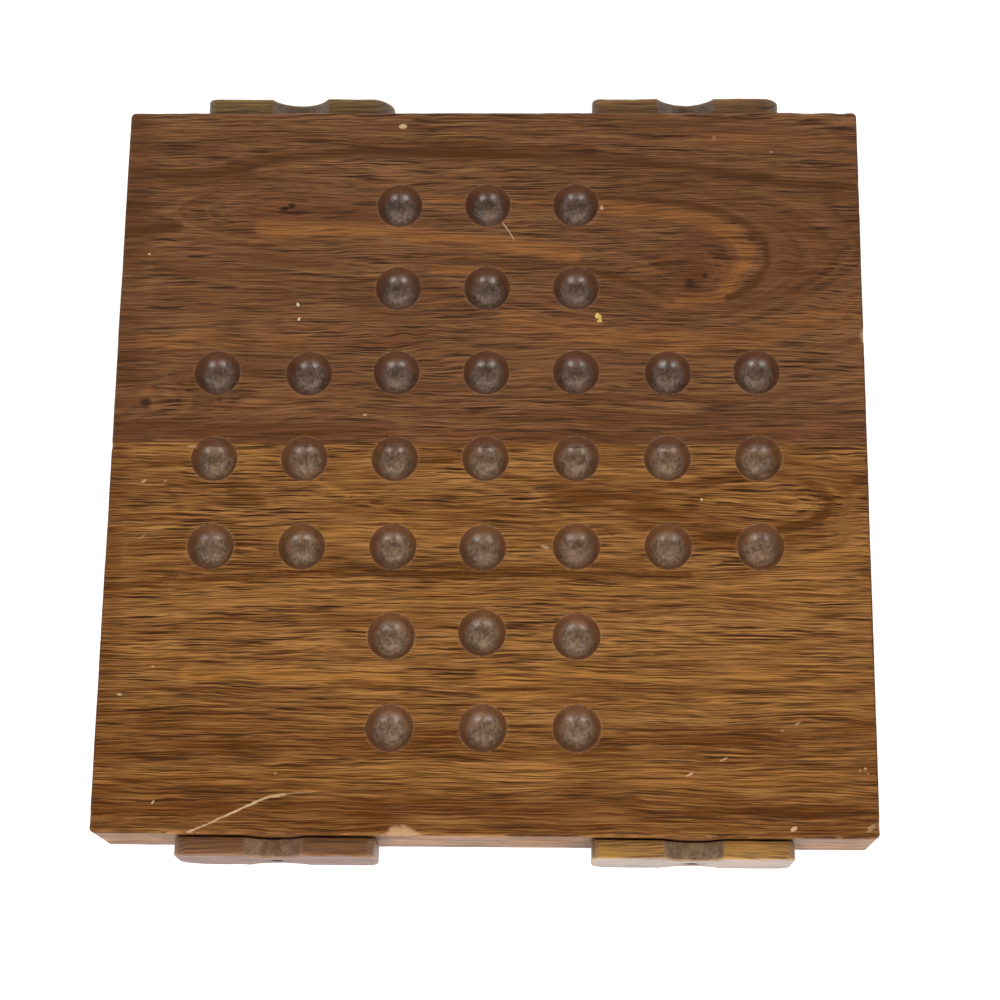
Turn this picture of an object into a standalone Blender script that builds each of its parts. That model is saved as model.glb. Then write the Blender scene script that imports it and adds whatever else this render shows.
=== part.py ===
# Marble solitaire board: two edge-glued planks with 33 round dimples in a cross, and four
# waisted wooden turn buttons, each on one steel pin in the front or rear edge.
# Metres, +Z up, origin under the middle of the underside, front towards -Y, grain along X.

import math

import bmesh
import bpy
from mathutils import Vector

# Play field
HOLE_PITCH = 0.0254
HOLES_ACROSS = 7
ARM_HOLES = 3
DIMPLE_BALL_RADIUS = 0.0067  # the round-nosed cutter that sinks each dimple
DIMPLE_DEPTH = 0.006
DIMPLE_RIM_ROUND = 0.0005
FIELD_SHIFT_X = -0.0006  # the whole drilled field sits a little off centre
FIELD_SHIFT_Y = -0.0001
FIELD_TURN = math.radians(0.23)
# Holes drilled off their mark, as (row from the front, column from the left): shares of the pitch
DRIFT_SHARES = {
    (1, 3): (-0.020, 0.040),
    (2, 3): (-0.020, -0.015),
    (4, 1): (0.023, -0.012),
    (4, 5): (0.019, -0.011),
}

# Board
SIDE_MARGIN = 0.0298  # outermost hole centres to the left and right edges
END_MARGIN = 0.0292  # outermost hole centres to the front and rear edges
BOARD_THICKNESS = 0.026
BOARD_CORNER_ROUND = 0.0015
BOARD_EDGE_ROUND = 0.0008
GLUE_LINE_Y = 0.0043  # the joint between the planks, behind the middle row
GLUE_GAP = 0.0003

# Turn buttons
BUTTON_LENGTH = 0.0545
BUTTON_THICKNESS = 0.0052
BUTTON_SETBACK = 0.0024  # from the board's faces to the button's long edges
BUTTON_INSET = 0.0223  # from the board's side to the button's outer end
BUTTON_GAP = 0.0004  # running clearance to the board's edge
BUTTON_EDGE_ROUND = 0.0006
NOTCH_WIDTH = 0.016
NOTCH_DEPTH = 0.0046
NOTCH_SHOULDER_ROUND = 0.0018
CORNER_TIGHT = 0.0026
CORNER_SOFT = 0.0042
CORNER_FULL = 0.0075

# Pins
PIN_LENGTH = 0.0254
PIN_SHANK_DIAMETER = 0.0016
PIN_HEAD_DIAMETER = 0.0026
PIN_HEAD_HEIGHT = 0.0008
PIN_HEAD_DOME = 0.0002
PIN_HEAD_SINK = 0.0004  # below the button's outer face
PIN_POINT_LENGTH = 0.0028
PIN_CLEARANCE = 0.0003

# Cutters and facets
CUT_OVERRUN = 0.002
DIMPLE_SIDES = 20
DIMPLE_RINGS = 5
PIN_SIDES = 16
CORNER_STEPS = 4
NOTCH_STEPS = 10
SHOULDER_STEPS = 3
BOARD_CORNER_STEPS = 4
EDGE_STEPS = 2
WELD_DISTANCE = 0.000001

# Sizes that follow
FIELD_SPAN = (HOLES_ACROSS - 1) * HOLE_PITCH
BOARD_WIDTH = FIELD_SPAN + 2 * SIDE_MARGIN
BOARD_DEPTH = FIELD_SPAN + 2 * END_MARGIN
BUTTON_HEIGHT = BOARD_THICKNESS - 2 * BUTTON_SETBACK
BUTTON_X = BOARD_WIDTH / 2 - BUTTON_INSET - BUTTON_LENGTH / 2
PIVOT_Z = BOARD_THICKNESS / 2
BUTTON_BACK_Y = BOARD_DEPTH / 2 + BUTTON_GAP
BUTTON_FACE_Y = BUTTON_BACK_Y + BUTTON_THICKNESS
PIN_TOP_Y = BUTTON_FACE_Y - PIN_HEAD_SINK
PIN_IN_BOARD = PIN_LENGTH - (PIN_TOP_Y - BOARD_DEPTH / 2)

# Where each button sits, and its corner radii: outer top, inner top, inner bottom, outer bottom
BUTTONS = {
    "front_left": (-1, -1, (CORNER_SOFT, CORNER_TIGHT, CORNER_SOFT, CORNER_FULL)),
    "front_right": (1, -1, (CORNER_TIGHT, CORNER_TIGHT, CORNER_SOFT, CORNER_SOFT)),
    "rear_left": (-1, 1, (CORNER_TIGHT, CORNER_FULL, CORNER_SOFT, CORNER_TIGHT)),
    "rear_right": (1, 1, (CORNER_SOFT, CORNER_TIGHT, CORNER_TIGHT, CORNER_SOFT)),
}


def clear_scene():
    for obj in list(bpy.data.objects):
        bpy.data.objects.remove(obj, do_unlink=True)


def new_collection(name):
    collection = bpy.data.collections.new(name)
    bpy.context.scene.collection.children.link(collection)
    return collection


def new_material(name, colour, roughness, metallic=0.0):
    material = bpy.data.materials.new(name)
    material.use_nodes = True
    shader = material.node_tree.nodes["Principled BSDF"]
    shader.inputs["Base Color"].default_value = (*colour, 1.0)
    shader.inputs["Roughness"].default_value = roughness
    shader.inputs["Metallic"].default_value = metallic
    return material


def add_object(name, mesh, collection, material=None):
    obj = bpy.data.objects.new(name, mesh)
    collection.objects.link(obj)
    if material:
        mesh.materials.append(material)
    return obj


def add_cutter(name, mesh, collection):
    cutter = add_object(name, mesh, collection)
    cutter.hide_render = True
    cutter.display_type = "WIRE"
    return cutter


def cut(obj, cutter):
    boolean = obj.modifiers.new("Cut " + cutter.name, "BOOLEAN")
    boolean.operation = "DIFFERENCE"
    boolean.solver = "EXACT"
    boolean.object = cutter


def arc_points(centre, radius, start, end, steps):
    # Points on a circle from one angle to the other, both ends included.
    points = []
    for step in range(steps + 1):
        angle = start + (end - start) * step / steps
        points.append(Vector((centre[0] + radius * math.cos(angle), centre[1] + radius * math.sin(angle))))
    return points


def turned_mesh(name, profile, sides):
    # The profile runs down the outer side at +X, from the axis at the top to the axis at the bottom.
    mesh = bpy.data.meshes.new(name)
    mesh.from_pydata([(x, 0.0, z) for x, z in profile], [(i, i + 1) for i in range(len(profile) - 1)], [])
    guide = bpy.data.objects.new(name + "_guide", mesh)
    bpy.context.scene.collection.objects.link(guide)
    screw = guide.modifiers.new("Turn", "SCREW")
    screw.steps = sides
    screw.render_steps = sides
    screw.use_merge_vertices = True
    screw.merge_threshold = WELD_DISTANCE
    turned = evaluated_mesh(guide, name)
    bpy.data.objects.remove(guide, do_unlink=True)
    return turned


def evaluated_mesh(obj, name):
    graph = bpy.context.evaluated_depsgraph_get()
    mesh = bpy.data.meshes.new_from_object(obj.evaluated_get(graph))
    mesh.name = name
    weld = bmesh.new()
    weld.from_mesh(mesh)
    bmesh.ops.remove_doubles(weld, verts=weld.verts, dist=WELD_DISTANCE)
    weld.to_mesh(mesh)
    weld.free()
    return mesh


# The planks: rounded on every outer edge and square along the glue line.
def plank_mesh(name, low_y, high_y, outer_y):
    mesh = bpy.data.meshes.new(name)
    work = bmesh.new()
    bmesh.ops.create_cube(work, size=1.0)
    for vert in work.verts:
        vert.co.x *= BOARD_WIDTH
        vert.co.y = high_y if vert.co.y > 0 else low_y
        vert.co.z = BOARD_THICKNESS if vert.co.z > 0 else 0.0

    def at_outer(edge):
        return all(abs(vert.co.y - outer_y) < WELD_DISTANCE for vert in edge.verts)

    def along(edge, axis):
        return abs(edge.verts[0].co[axis] - edge.verts[1].co[axis]) > WELD_DISTANCE

    corners = [edge for edge in work.edges if along(edge, 2) and at_outer(edge)]
    bmesh.ops.bevel(
        work, geom=corners, offset=BOARD_CORNER_ROUND, segments=BOARD_CORNER_STEPS, profile=0.5, affect="EDGES"
    )
    glued_y = low_y + high_y - outer_y
    rims = []
    for edge in work.edges:
        on_glue_line = all(abs(vert.co.y - glued_y) < WELD_DISTANCE for vert in edge.verts)
        if not along(edge, 2) and not on_glue_line:
            rims.append(edge)
    bmesh.ops.bevel(work, geom=rims, offset=BOARD_EDGE_ROUND, segments=EDGE_STEPS, profile=0.5, affect="EDGES")
    bmesh.ops.recalc_face_normals(work, faces=work.faces)
    work.to_mesh(mesh)
    work.free()
    return mesh


def dimple_profile():
    # A ball cut of the set depth, opened at the board's face by a rounded rim.
    ball_z = DIMPLE_BALL_RADIUS - DIMPLE_DEPTH
    rim_angle = math.asin((ball_z + DIMPLE_RIM_ROUND) / DIMPLE_BALL_RADIUS)
    rim_x = DIMPLE_BALL_RADIUS * math.cos(rim_angle)
    profile = [
        (0.0, CUT_OVERRUN),
        (rim_x + DIMPLE_RIM_ROUND, CUT_OVERRUN),
        (rim_x + DIMPLE_RIM_ROUND, 0.0),
    ]
    for step in range(DIMPLE_RINGS):
        angle = rim_angle + (math.pi / 2 - rim_angle) * step / DIMPLE_RINGS
        profile.append((DIMPLE_BALL_RADIUS * math.cos(angle), ball_z - DIMPLE_BALL_RADIUS * math.sin(angle)))
    profile.append((0.0, -DIMPLE_DEPTH))
    return profile


def dimple_places():
    # A cross of holes: every row and column of the square field that runs through an arm.
    middle = (HOLES_ACROSS - 1) / 2
    arm = ARM_HOLES / 2
    places = []
    for row in range(HOLES_ACROSS):
        for column in range(HOLES_ACROSS):
            if abs(row - middle) > arm and abs(column - middle) > arm:
                continue
            drift_x, drift_y = DRIFT_SHARES.get((row, column), (0.0, 0.0))
            x = (column - middle + drift_x) * HOLE_PITCH
            y = (row - middle + drift_y) * HOLE_PITCH
            places.append(
                (
                    FIELD_SHIFT_X + x * math.cos(FIELD_TURN) - y * math.sin(FIELD_TURN),
                    FIELD_SHIFT_Y + x * math.sin(FIELD_TURN) + y * math.cos(FIELD_TURN),
                )
            )
    return places


def field_cutter(collection):
    # All the dimples as one cutter, so that a plank is cut by them in one step.
    dimple = turned_mesh("dimple", dimple_profile(), DIMPLE_SIDES)
    work = bmesh.new()
    for x, y in dimple_places():
        first = len(work.verts)
        work.from_mesh(dimple)
        work.verts.ensure_lookup_table()
        for vert in work.verts[first:]:
            vert.co += Vector((x, y, BOARD_THICKNESS))
    mesh = bpy.data.meshes.new("dimple_field")
    work.to_mesh(mesh)
    work.free()
    bpy.data.meshes.remove(dimple)
    return add_cutter("dimple_field", mesh, collection)


def pin_bore_cutter(name, side_x, side_y, collection):
    # A straight hole into the board's edge, a little wider and deeper than the pin's shank.
    depth = PIN_IN_BOARD + PIN_CLEARANCE
    length = depth + CUT_OVERRUN
    mesh = bpy.data.meshes.new(name)
    work = bmesh.new()
    bmesh.ops.create_cone(
        work,
        cap_ends=True,
        segments=PIN_SIDES,
        radius1=PIN_SHANK_DIAMETER / 2 + PIN_CLEARANCE,
        radius2=PIN_SHANK_DIAMETER / 2 + PIN_CLEARANCE,
        depth=length,
    )
    work.to_mesh(mesh)
    work.free()
    cutter = add_cutter(name, mesh, collection)
    middle_y = BOARD_DEPTH / 2 - depth + length / 2
    cutter.location = (side_x * BUTTON_X, side_y * middle_y, PIVOT_Z)
    cutter.rotation_euler = (math.pi / 2, 0.0, 0.0)
    return cutter


def add_planks(parts, cutters, woods):
    dimples = field_cutter(cutters)
    rear = (GLUE_LINE_Y + GLUE_GAP / 2, BOARD_DEPTH / 2, BOARD_DEPTH / 2)
    front = (-BOARD_DEPTH / 2, GLUE_LINE_Y - GLUE_GAP / 2, -BOARD_DEPTH / 2)
    for name, (low_y, high_y, outer_y), side_y in (("rear_plank", rear, 1), ("front_plank", front, -1)):
        plank = add_object(name, plank_mesh(name, low_y, high_y, outer_y), parts, woods[name])
        cut(plank, dimples)
        for place, (side_x, button_side_y, _) in BUTTONS.items():
            if button_side_y == side_y:
                cut(plank, pin_bore_cutter("bore_" + place, side_x, side_y, cutters))
        plank.data.shade_smooth()
        plank.data.set_sharp_from_angle(angle=math.radians(30))


# A turn button: a bar with a round notch in the middle of both long edges.
def notch_points(edge_side):
    # Right to left along the upper edge (edge_side 1), or left to right along the lower one (-1).
    edge_y = BUTTON_HEIGHT / 2
    notch_radius = ((NOTCH_WIDTH / 2) ** 2 + NOTCH_DEPTH**2) / (2 * NOTCH_DEPTH)
    notch_y = edge_y + notch_radius - NOTCH_DEPTH
    shoulder_y = edge_y - NOTCH_SHOULDER_ROUND
    reach = notch_radius + NOTCH_SHOULDER_ROUND
    shoulder_x = math.sqrt(reach**2 - (notch_y - shoulder_y) ** 2)
    lean = math.atan2(notch_y - shoulder_y, shoulder_x)
    points = arc_points((shoulder_x, shoulder_y), NOTCH_SHOULDER_ROUND, math.pi / 2, math.pi - lean, SHOULDER_STEPS)
    points += arc_points((0.0, notch_y), notch_radius, -lean, lean - math.pi, NOTCH_STEPS)[1:-1]
    points += arc_points((-shoulder_x, shoulder_y), NOTCH_SHOULDER_ROUND, lean, math.pi / 2, SHOULDER_STEPS)
    if edge_side < 0:
        return [Vector((-point.x, -point.y)) for point in points]
    return points


def button_outline(radii):
    # Anticlockwise from the right end, with radii for top right, top left, bottom left, bottom right.
    half_length = BUTTON_LENGTH / 2
    half_height = BUTTON_HEIGHT / 2
    quarter = math.pi / 2
    outline = []
    corners = ((1, 1), (-1, 1), (-1, -1), (1, -1))
    for index, ((side_x, side_y), radius) in enumerate(zip(corners, radii)):
        centre = (side_x * (half_length - radius), side_y * (half_height - radius))
        outline += arc_points(centre, radius, index * quarter, (index + 1) * quarter, CORNER_STEPS)
        if side_x * side_y > 0:
            outline += notch_points(side_y)
    return outline


def button_hole_cutter(name, collection):
    # The pin's hole with a recess for its head, turned about the pin's axis, outer face up.
    shank = PIN_SHANK_DIAMETER / 2 + PIN_CLEARANCE
    head = PIN_HEAD_DIAMETER / 2 + PIN_CLEARANCE
    recess_z = BUTTON_THICKNESS / 2 - PIN_HEAD_SINK - PIN_HEAD_HEIGHT - PIN_CLEARANCE
    top_z = BUTTON_THICKNESS / 2 + CUT_OVERRUN
    profile = [(0.0, top_z), (head, top_z), (head, recess_z), (shank, recess_z), (shank, -top_z), (0.0, -top_z)]
    return add_cutter(name, turned_mesh(name, profile, PIN_SIDES), collection)


def add_button(place, side_x, side_y, radii, parts, cutters, wood):
    outer_top, inner_top, inner_bottom, outer_bottom = radii
    # Turned to face out, the button's right end is the outer one on the front right and the rear left.
    if side_x * side_y < 0:
        right_first = (outer_top, inner_top, inner_bottom, outer_bottom)
    else:
        right_first = (inner_top, outer_top, outer_bottom, inner_bottom)
    name = "button_" + place
    curve = bpy.data.curves.new(name, "CURVE")
    curve.dimensions = "2D"
    curve.fill_mode = "BOTH"
    curve.extrude = BUTTON_THICKNESS / 2
    outline = button_outline(right_first)
    spline = curve.splines.new("POLY")
    spline.points.add(len(outline) - 1)
    for point, place_on_outline in zip(spline.points, outline):
        point.co = (place_on_outline.x, place_on_outline.y, 0.0, 1.0)
    spline.use_cyclic_u = True
    guide = bpy.data.objects.new(name + "_guide", curve)
    parts.objects.link(guide)
    mesh = evaluated_mesh(guide, name)
    bpy.data.objects.remove(guide, do_unlink=True)
    button = add_object(name, mesh, parts, wood)
    rounding = button.modifiers.new("Round edges", "BEVEL")
    rounding.width = BUTTON_EDGE_ROUND
    rounding.segments = EDGE_STEPS
    rounding.limit_method = "ANGLE"
    rounding.angle_limit = math.radians(50)
    hole = button_hole_cutter("hole_" + place, cutters)
    cut(button, hole)
    # The origin lies on the pin's axis, in the middle of the button.
    middle_y = side_y * (BUTTON_BACK_Y + BUTTON_THICKNESS / 2)
    for obj in (button, hole):
        obj.location = (side_x * BUTTON_X, middle_y, PIVOT_Z)
        obj.rotation_euler = (math.pi / 2, 0.0, 0.0 if side_y < 0 else math.pi)
    button.data.shade_smooth()
    button.data.set_sharp_from_angle(angle=math.radians(30))


def pin_profile():
    head = PIN_HEAD_DIAMETER / 2
    shank = PIN_SHANK_DIAMETER / 2
    return [
        (0.0, 0.0),
        (head / 2, -PIN_HEAD_DOME / 4),
        (head, -PIN_HEAD_DOME),
        (head, -PIN_HEAD_HEIGHT),
        (shank, -PIN_HEAD_HEIGHT),
        (shank, PIN_POINT_LENGTH - PIN_LENGTH),
        (0.0, -PIN_LENGTH),
    ]


def add_pin(place, side_x, side_y, parts, steel):
    name = "pin_" + place
    pin = add_object(name, turned_mesh(name, pin_profile(), PIN_SIDES), parts, steel)
    pin.location = (side_x * BUTTON_X, side_y * PIN_TOP_Y, PIVOT_Z)
    pin.rotation_euler = (math.pi / 2, 0.0, 0.0 if side_y < 0 else math.pi)
    pin.data.shade_smooth()
    pin.data.set_sharp_from_angle(angle=math.radians(30))


def main():
    clear_scene()
    parts = new_collection("marble_solitaire_board")
    cutters = new_collection("cutters")
    cutters.hide_render = True
    woods = {
        "rear_plank": new_material("Reddish walnut", (0.142, 0.063, 0.028), 0.42),
        "front_plank": new_material("Golden walnut", (0.191, 0.084, 0.028), 0.42),
    }
    button_wood = new_material("Button walnut", (0.160, 0.085, 0.038), 0.5)
    steel = new_material("Dark steel", (0.035, 0.028, 0.024), 0.45, 1.0)
    add_planks(parts, cutters, woods)
    for place, (side_x, side_y, radii) in BUTTONS.items():
        add_button(place, side_x, side_y, radii, parts, cutters, button_wood)
        add_pin(place, side_x, side_y, parts, steel)


main()
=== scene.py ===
# Marble solitaire board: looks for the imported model, two glued walnut planks, turn buttons and pins.
import math

import bmesh
import bpy
import numpy as np
from mathutils import Matrix


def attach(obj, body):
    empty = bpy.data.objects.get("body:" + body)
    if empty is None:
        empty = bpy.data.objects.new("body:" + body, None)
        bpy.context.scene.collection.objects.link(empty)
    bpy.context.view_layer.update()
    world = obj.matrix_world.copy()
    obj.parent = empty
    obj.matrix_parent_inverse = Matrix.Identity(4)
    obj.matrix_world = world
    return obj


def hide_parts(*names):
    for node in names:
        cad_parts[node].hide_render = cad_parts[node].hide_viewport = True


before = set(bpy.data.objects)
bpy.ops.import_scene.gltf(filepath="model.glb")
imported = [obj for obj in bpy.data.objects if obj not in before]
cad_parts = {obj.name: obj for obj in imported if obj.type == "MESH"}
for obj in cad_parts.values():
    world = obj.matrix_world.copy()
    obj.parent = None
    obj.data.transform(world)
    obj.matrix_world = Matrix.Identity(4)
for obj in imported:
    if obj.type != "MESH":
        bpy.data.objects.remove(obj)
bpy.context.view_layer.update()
print("frame loaded:", len(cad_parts), "nodes")

# Shapes below are worked out in millimetres and go into the meshes in metres.
mm = 0.001
farAway = 1e9  # mm, further than any place of the object


def srgb(red, green, blue):
    # 0 to 255 screen values to the linear colour that Blender's sockets take
    values = np.array([red, green, blue]) / 255
    linear = np.where(values <= 0.04045, values / 12.92, ((values + 0.055) / 1.055) ** 2.4)
    return (float(linear[0]), float(linear[1]), float(linear[2]), 1.0)


def ripple(seed, waves, longest, shortest, dimensions=1):
    # a sum of sine waves with seeded directions, lengths between longest and shortest and phases, scaled to about 1
    random = np.random.default_rng(seed)
    lengths = np.geomspace(longest, shortest, waves)
    headings = random.normal(size=(waves, dimensions))
    headings /= np.linalg.norm(headings, axis=1, keepdims=True)
    phases = random.uniform(0, 2 * math.pi, waves)
    weights = (lengths / longest) ** 0.6

    def height(*coordinates):
        total = 0
        for k in range(waves):
            reach = sum(headings[k, d] * coordinates[d] for d in range(dimensions))
            total = total + weights[k] * np.sin(2 * math.pi * reach / lengths[k] + phases[k])
        return total / math.sqrt(0.5 * (weights**2).sum()) * 0.6

    return height


def smoothStep(low, high, value):
    t = np.clip((value - low) / (high - low), 0, 1)
    return t * t * (3 - 2 * t)


def toPolyline(x, y, line):
    # distance to the nearest point of a polyline, the least over its segments
    nearest = np.full(x.shape, farAway)
    for (ax, ay), (bx, by) in zip(line[:-1], line[1:]):
        dx, dy = bx - ax, by - ay
        t = np.clip(((x - ax) * dx + (y - ay) * dy) / (dx * dx + dy * dy), 0, 1)
        nearest = np.minimum(nearest, np.hypot(x - ax - t * dx, y - ay - t * dy))
    return nearest


def meshFrom(name, points, faces):
    mesh = bpy.data.meshes.new(name)
    mesh.from_pydata((points * mm).tolist(), [], faces)
    mesh.update()
    return mesh


def addObject(name, data):
    thing = bpy.data.objects.new(name, data)
    bpy.context.scene.collection.objects.link(thing)
    return thing


def addPiece(name, mesh, body, replaced):
    piece = addObject(name, mesh)
    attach(piece, body)
    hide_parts(replaced)
    return piece


def pointsOf(mesh):
    # vertex places in millimetres, as three arrays
    flat = np.empty(len(mesh.vertices) * 3, np.float32)
    mesh.vertices.foreach_get("co", flat)
    return (flat.reshape(-1, 3).astype(float) / mm).T


def setAttribute(mesh, name, values):
    # one number, or three in a row, for each vertex
    values = np.asarray(values, np.float32)
    kind, field = ("FLOAT", "value") if values.ndim == 1 else ("FLOAT_VECTOR", "vector")
    attribute = mesh.attributes.new(name, kind, "POINT")
    attribute.data.foreach_set(field, values.ravel())


def finishMesh(mesh, sharpAngle):
    mesh.polygons.foreach_set("use_smooth", np.ones(len(mesh.polygons), bool))
    mesh.set_sharp_from_angle(angle=math.radians(sharpAngle))
    mesh.update()


# The board's shape: dimples and lattice on top, worn edges, a flat underside
board = {
    "halfX": 106.0,
    "halfY": 105.4,
    "top": 26.0,
    "cornerRound": 1.5,
    "edgeRound": 0.75,
    "edgeWear": (0.3, 0.2),  # how far the upper and the lower rounding wander, as shares
    "pitch": 25.4,
    "holesAcross": 7,
    "armHoles": 3,
    "fieldShift": (-0.6, -0.1),
    "fieldTurn": 0.23,  # degrees
    # holes off their mark, as shares of the pitch: (row from the front, column from the left)
    "drift": {(1, 3): (-0.020, 0.040), (2, 3): (-0.020, -0.015), (4, 1): (0.023, -0.012), (4, 5): (0.019, -0.011)},
    "ballRadius": 6.5,
    "dimpleDepth": 5.9,
    "rimRound": 0.25,
    "bowlSteps": 12,
    "rimSteps": 4,
    "outerRings": 6,  # circles between a dimple's rim and its cell's border
    "outOfRound": 0.06,
    "cutterMarks": 0.035,
    "glueLine": 4.3,
    "glueGap": 0.05,
    "rimInset": 3.0,  # the flat lattice ends this far inside the edge
    "cellSteps": 32,
    "marginSteps": 20,
    "lowSteps": 4,  # the underside's lattice takes every fourth border point
    "lowShare": 0.972,
    "insetLeast": 1.4,
    "insetMost": 2.9,
    "ringGap": 0.03,
    "faceInset": (0.06, 0.03),  # how far the side faces lie in, and wander
    "topInset": (0.07, 0.04),  # the same for the top
    "topReach": 0.4,  # the top's inset fades out this far down
}

# Splintered places on the edge: x, y, half length along the edge, depth, all in mm
edgeChips = [
    (-21.5, -105.4, 4.6, 2.0),
    (-106.0, -101.6, 2.4, 0.6),
    (106.0, -101.8, 2.2, 0.6),
    (-78.6, -105.4, 1.6, 0.7),
    (105.9, 82.6, 1.1, 0.7),
    (105.9, 74.8, 0.9, 0.5),
    (105.9, 36.6, 2.4, 0.9),
    (105.9, 31.4, 0.7, 0.5),
    (54.0, 105.4, 3.4, 0.7),
    (92.0, 105.4, 4.5, 0.6),
    (101.5, 105.4, 1.8, 0.6),
    (-106.0, 3.4, 1.4, 0.6),
    (62.0, -105.4, 2.2, 0.5),
    (96.0, -105.4, 1.8, 0.5),
]


def holeList():
    # row, column and place of each dimple, on the turned, shifted grid of 7 by 7 without its 2 by 2 corners
    turn = math.radians(board["fieldTurn"])
    shiftX, shiftY = board["fieldShift"]
    holes = []
    middle = board["holesAcross"] // 2
    armHalf = board["armHoles"] / 2
    for row in range(board["holesAcross"]):
        for column in range(board["holesAcross"]):
            if abs(row - middle) > armHalf and abs(column - middle) > armHalf:
                continue
            driftX, driftY = board["drift"].get((row, column), (0, 0))
            x = (column - middle + driftX) * board["pitch"]
            y = (row - middle + driftY) * board["pitch"]
            holeX = shiftX + x * math.cos(turn) - y * math.sin(turn)
            holeY = shiftY + x * math.sin(turn) + y * math.cos(turn)
            holes.append((row, column, holeX, holeY))
    return holes


def latticeLine(half):
    # one axis of the lattice: the place in the field, how far out into the margin, in finer steps outside, and
    # the straight edge that the margin is drawn out to
    steps, margin = board["cellSteps"], board["marginSteps"]
    block = board["holesAcross"] / 2 * board["pitch"]
    inner = np.linspace(-block, block, board["holesAcross"] * steps + 1)
    t = np.arange(1, margin + 1) / margin
    outward = 0.6 * t + 0.4 * np.sin(0.5 * math.pi * t)
    place = np.concatenate([np.full(margin, -block), inner, np.full(margin, block)])
    reach = np.concatenate([outward[::-1], np.zeros(len(inner)), outward])
    edge = np.sign(place) * (half - board["rimInset"])
    return place, reach, edge


def latticePoints():
    # the field's grid, turned and shifted as drilled, carried on to a straight rectangle inside the board's edge
    placeX, reachX, edgeX = latticeLine(board["halfX"])
    placeY, reachY, edgeY = latticeLine(board["halfY"])
    fieldX, fieldY = np.meshgrid(placeX, placeY, indexing="ij")
    turn = math.radians(board["fieldTurn"])
    x = board["fieldShift"][0] + fieldX * math.cos(turn) - fieldY * math.sin(turn)
    y = board["fieldShift"][1] + fieldX * math.sin(turn) + fieldY * math.cos(turn)
    x = x + reachX[:, None] * (edgeX[:, None] - x)
    y = y + reachY[None, :] * (edgeY[None, :] - y)
    return x, y


def squareLoop(side):
    # lattice steps round a square of the given side, anticlockwise from its lower right corner
    up = np.arange(side)
    zero, full = np.zeros(side, int), np.full(side, side)
    i = np.concatenate([full, side - up, zero, up])
    j = np.concatenate([up, full, side - up, zero])
    return i, j


def bandFaces(inner, outer):
    # quads between two closed loops of vertex numbers, facing up when both run anticlockwise
    return np.stack([inner, outer, np.roll(outer, -1), np.roll(inner, -1)], axis=1)


def bowlProfile():
    # from the bottom out: the ball's arc, then the small round that turns it into the flat top
    ball, rim = board["ballRadius"], board["rimRound"]
    lift = ball - board["dimpleDepth"]
    roundX = math.sqrt((ball + rim) ** 2 - (lift + rim) ** 2)
    meet = math.acos((lift + rim) / (ball + rim))
    angle = np.linspace(0, meet, board["bowlSteps"] + 1)[1:]
    radius = ball * np.sin(angle)
    height = lift - ball * np.cos(angle)
    turnAngle = np.linspace(meet, 0, board["rimSteps"] + 1)[1:]
    radius = np.concatenate([radius, roundX - rim * np.sin(turnAngle)])
    height = np.concatenate([height, -rim + rim * np.cos(turnAngle)])
    return radius, height


def dimplePatch(x, y, corner, centre, seed, start):
    # rings from the bowl's bottom to the cell's square border: the profile turned about the hole's axis,
    # then circles drawn out straight to the border points
    steps = board["cellSteps"]
    loopI, loopJ = squareLoop(steps)
    borderX, borderY = x[corner[0] + loopI, corner[1] + loopJ], y[corner[0] + loopI, corner[1] + loopJ]
    awayX, awayY = borderX - centre[0], borderY - centre[1]
    away = np.hypot(awayX, awayY)
    dirX, dirY = awayX / away, awayY / away
    angle = np.arctan2(dirY, dirX)
    radius, height = bowlProfile()
    outOfRound = ripple(seed, 5, 2.6, 0.5)
    chatter = ripple(seed + 100, 6, 4.0, 0.6, 2)
    share = radius / radius[-1]
    wobble = board["outOfRound"] * outOfRound(angle / math.pi)[None, :] * smoothStep(0.5, 1.0, share)[:, None]
    ringX = centre[0] + (radius[:, None] + wobble) * dirX
    ringY = centre[1] + (radius[:, None] + wobble) * dirY
    marks = board["cutterMarks"] * chatter(ringX, ringY)
    ringZ = height[:, None] + marks * smoothStep(1.0, 0.85, share)[:, None]
    gaps = board["outerRings"] + 1
    outer = (np.arange(1, gaps) / gaps) ** 1.35  # closer together near the rim
    startX, startY = ringX[-1], ringY[-1]
    outX = startX + outer[:, None] * (borderX - startX)
    outY = startY + outer[:, None] * (borderY - startY)
    points = [np.array([[centre[0], centre[1], -board["dimpleDepth"]]])]
    points.append(np.stack([ringX, ringY, ringZ], axis=-1).reshape(-1, 3))
    points.append(np.stack([outX, outY, np.zeros_like(outX)], axis=-1).reshape(-1, 3))
    count, around = len(radius) + len(outer), len(borderX)
    rings = start + 1 + np.arange(count * around).reshape(count, around)
    side = x.shape[1]
    border = (corner[0] + loopI) * side + corner[1] + loopJ
    loops = list(rings) + [border]
    quads = np.concatenate([bandFaces(a, b) for a, b in zip(loops[:-1], loops[1:])])
    fan = np.stack([np.full(around, start), rings[0], np.roll(rings[0], -1)], axis=1)
    return np.concatenate(points), quads, fan


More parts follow.
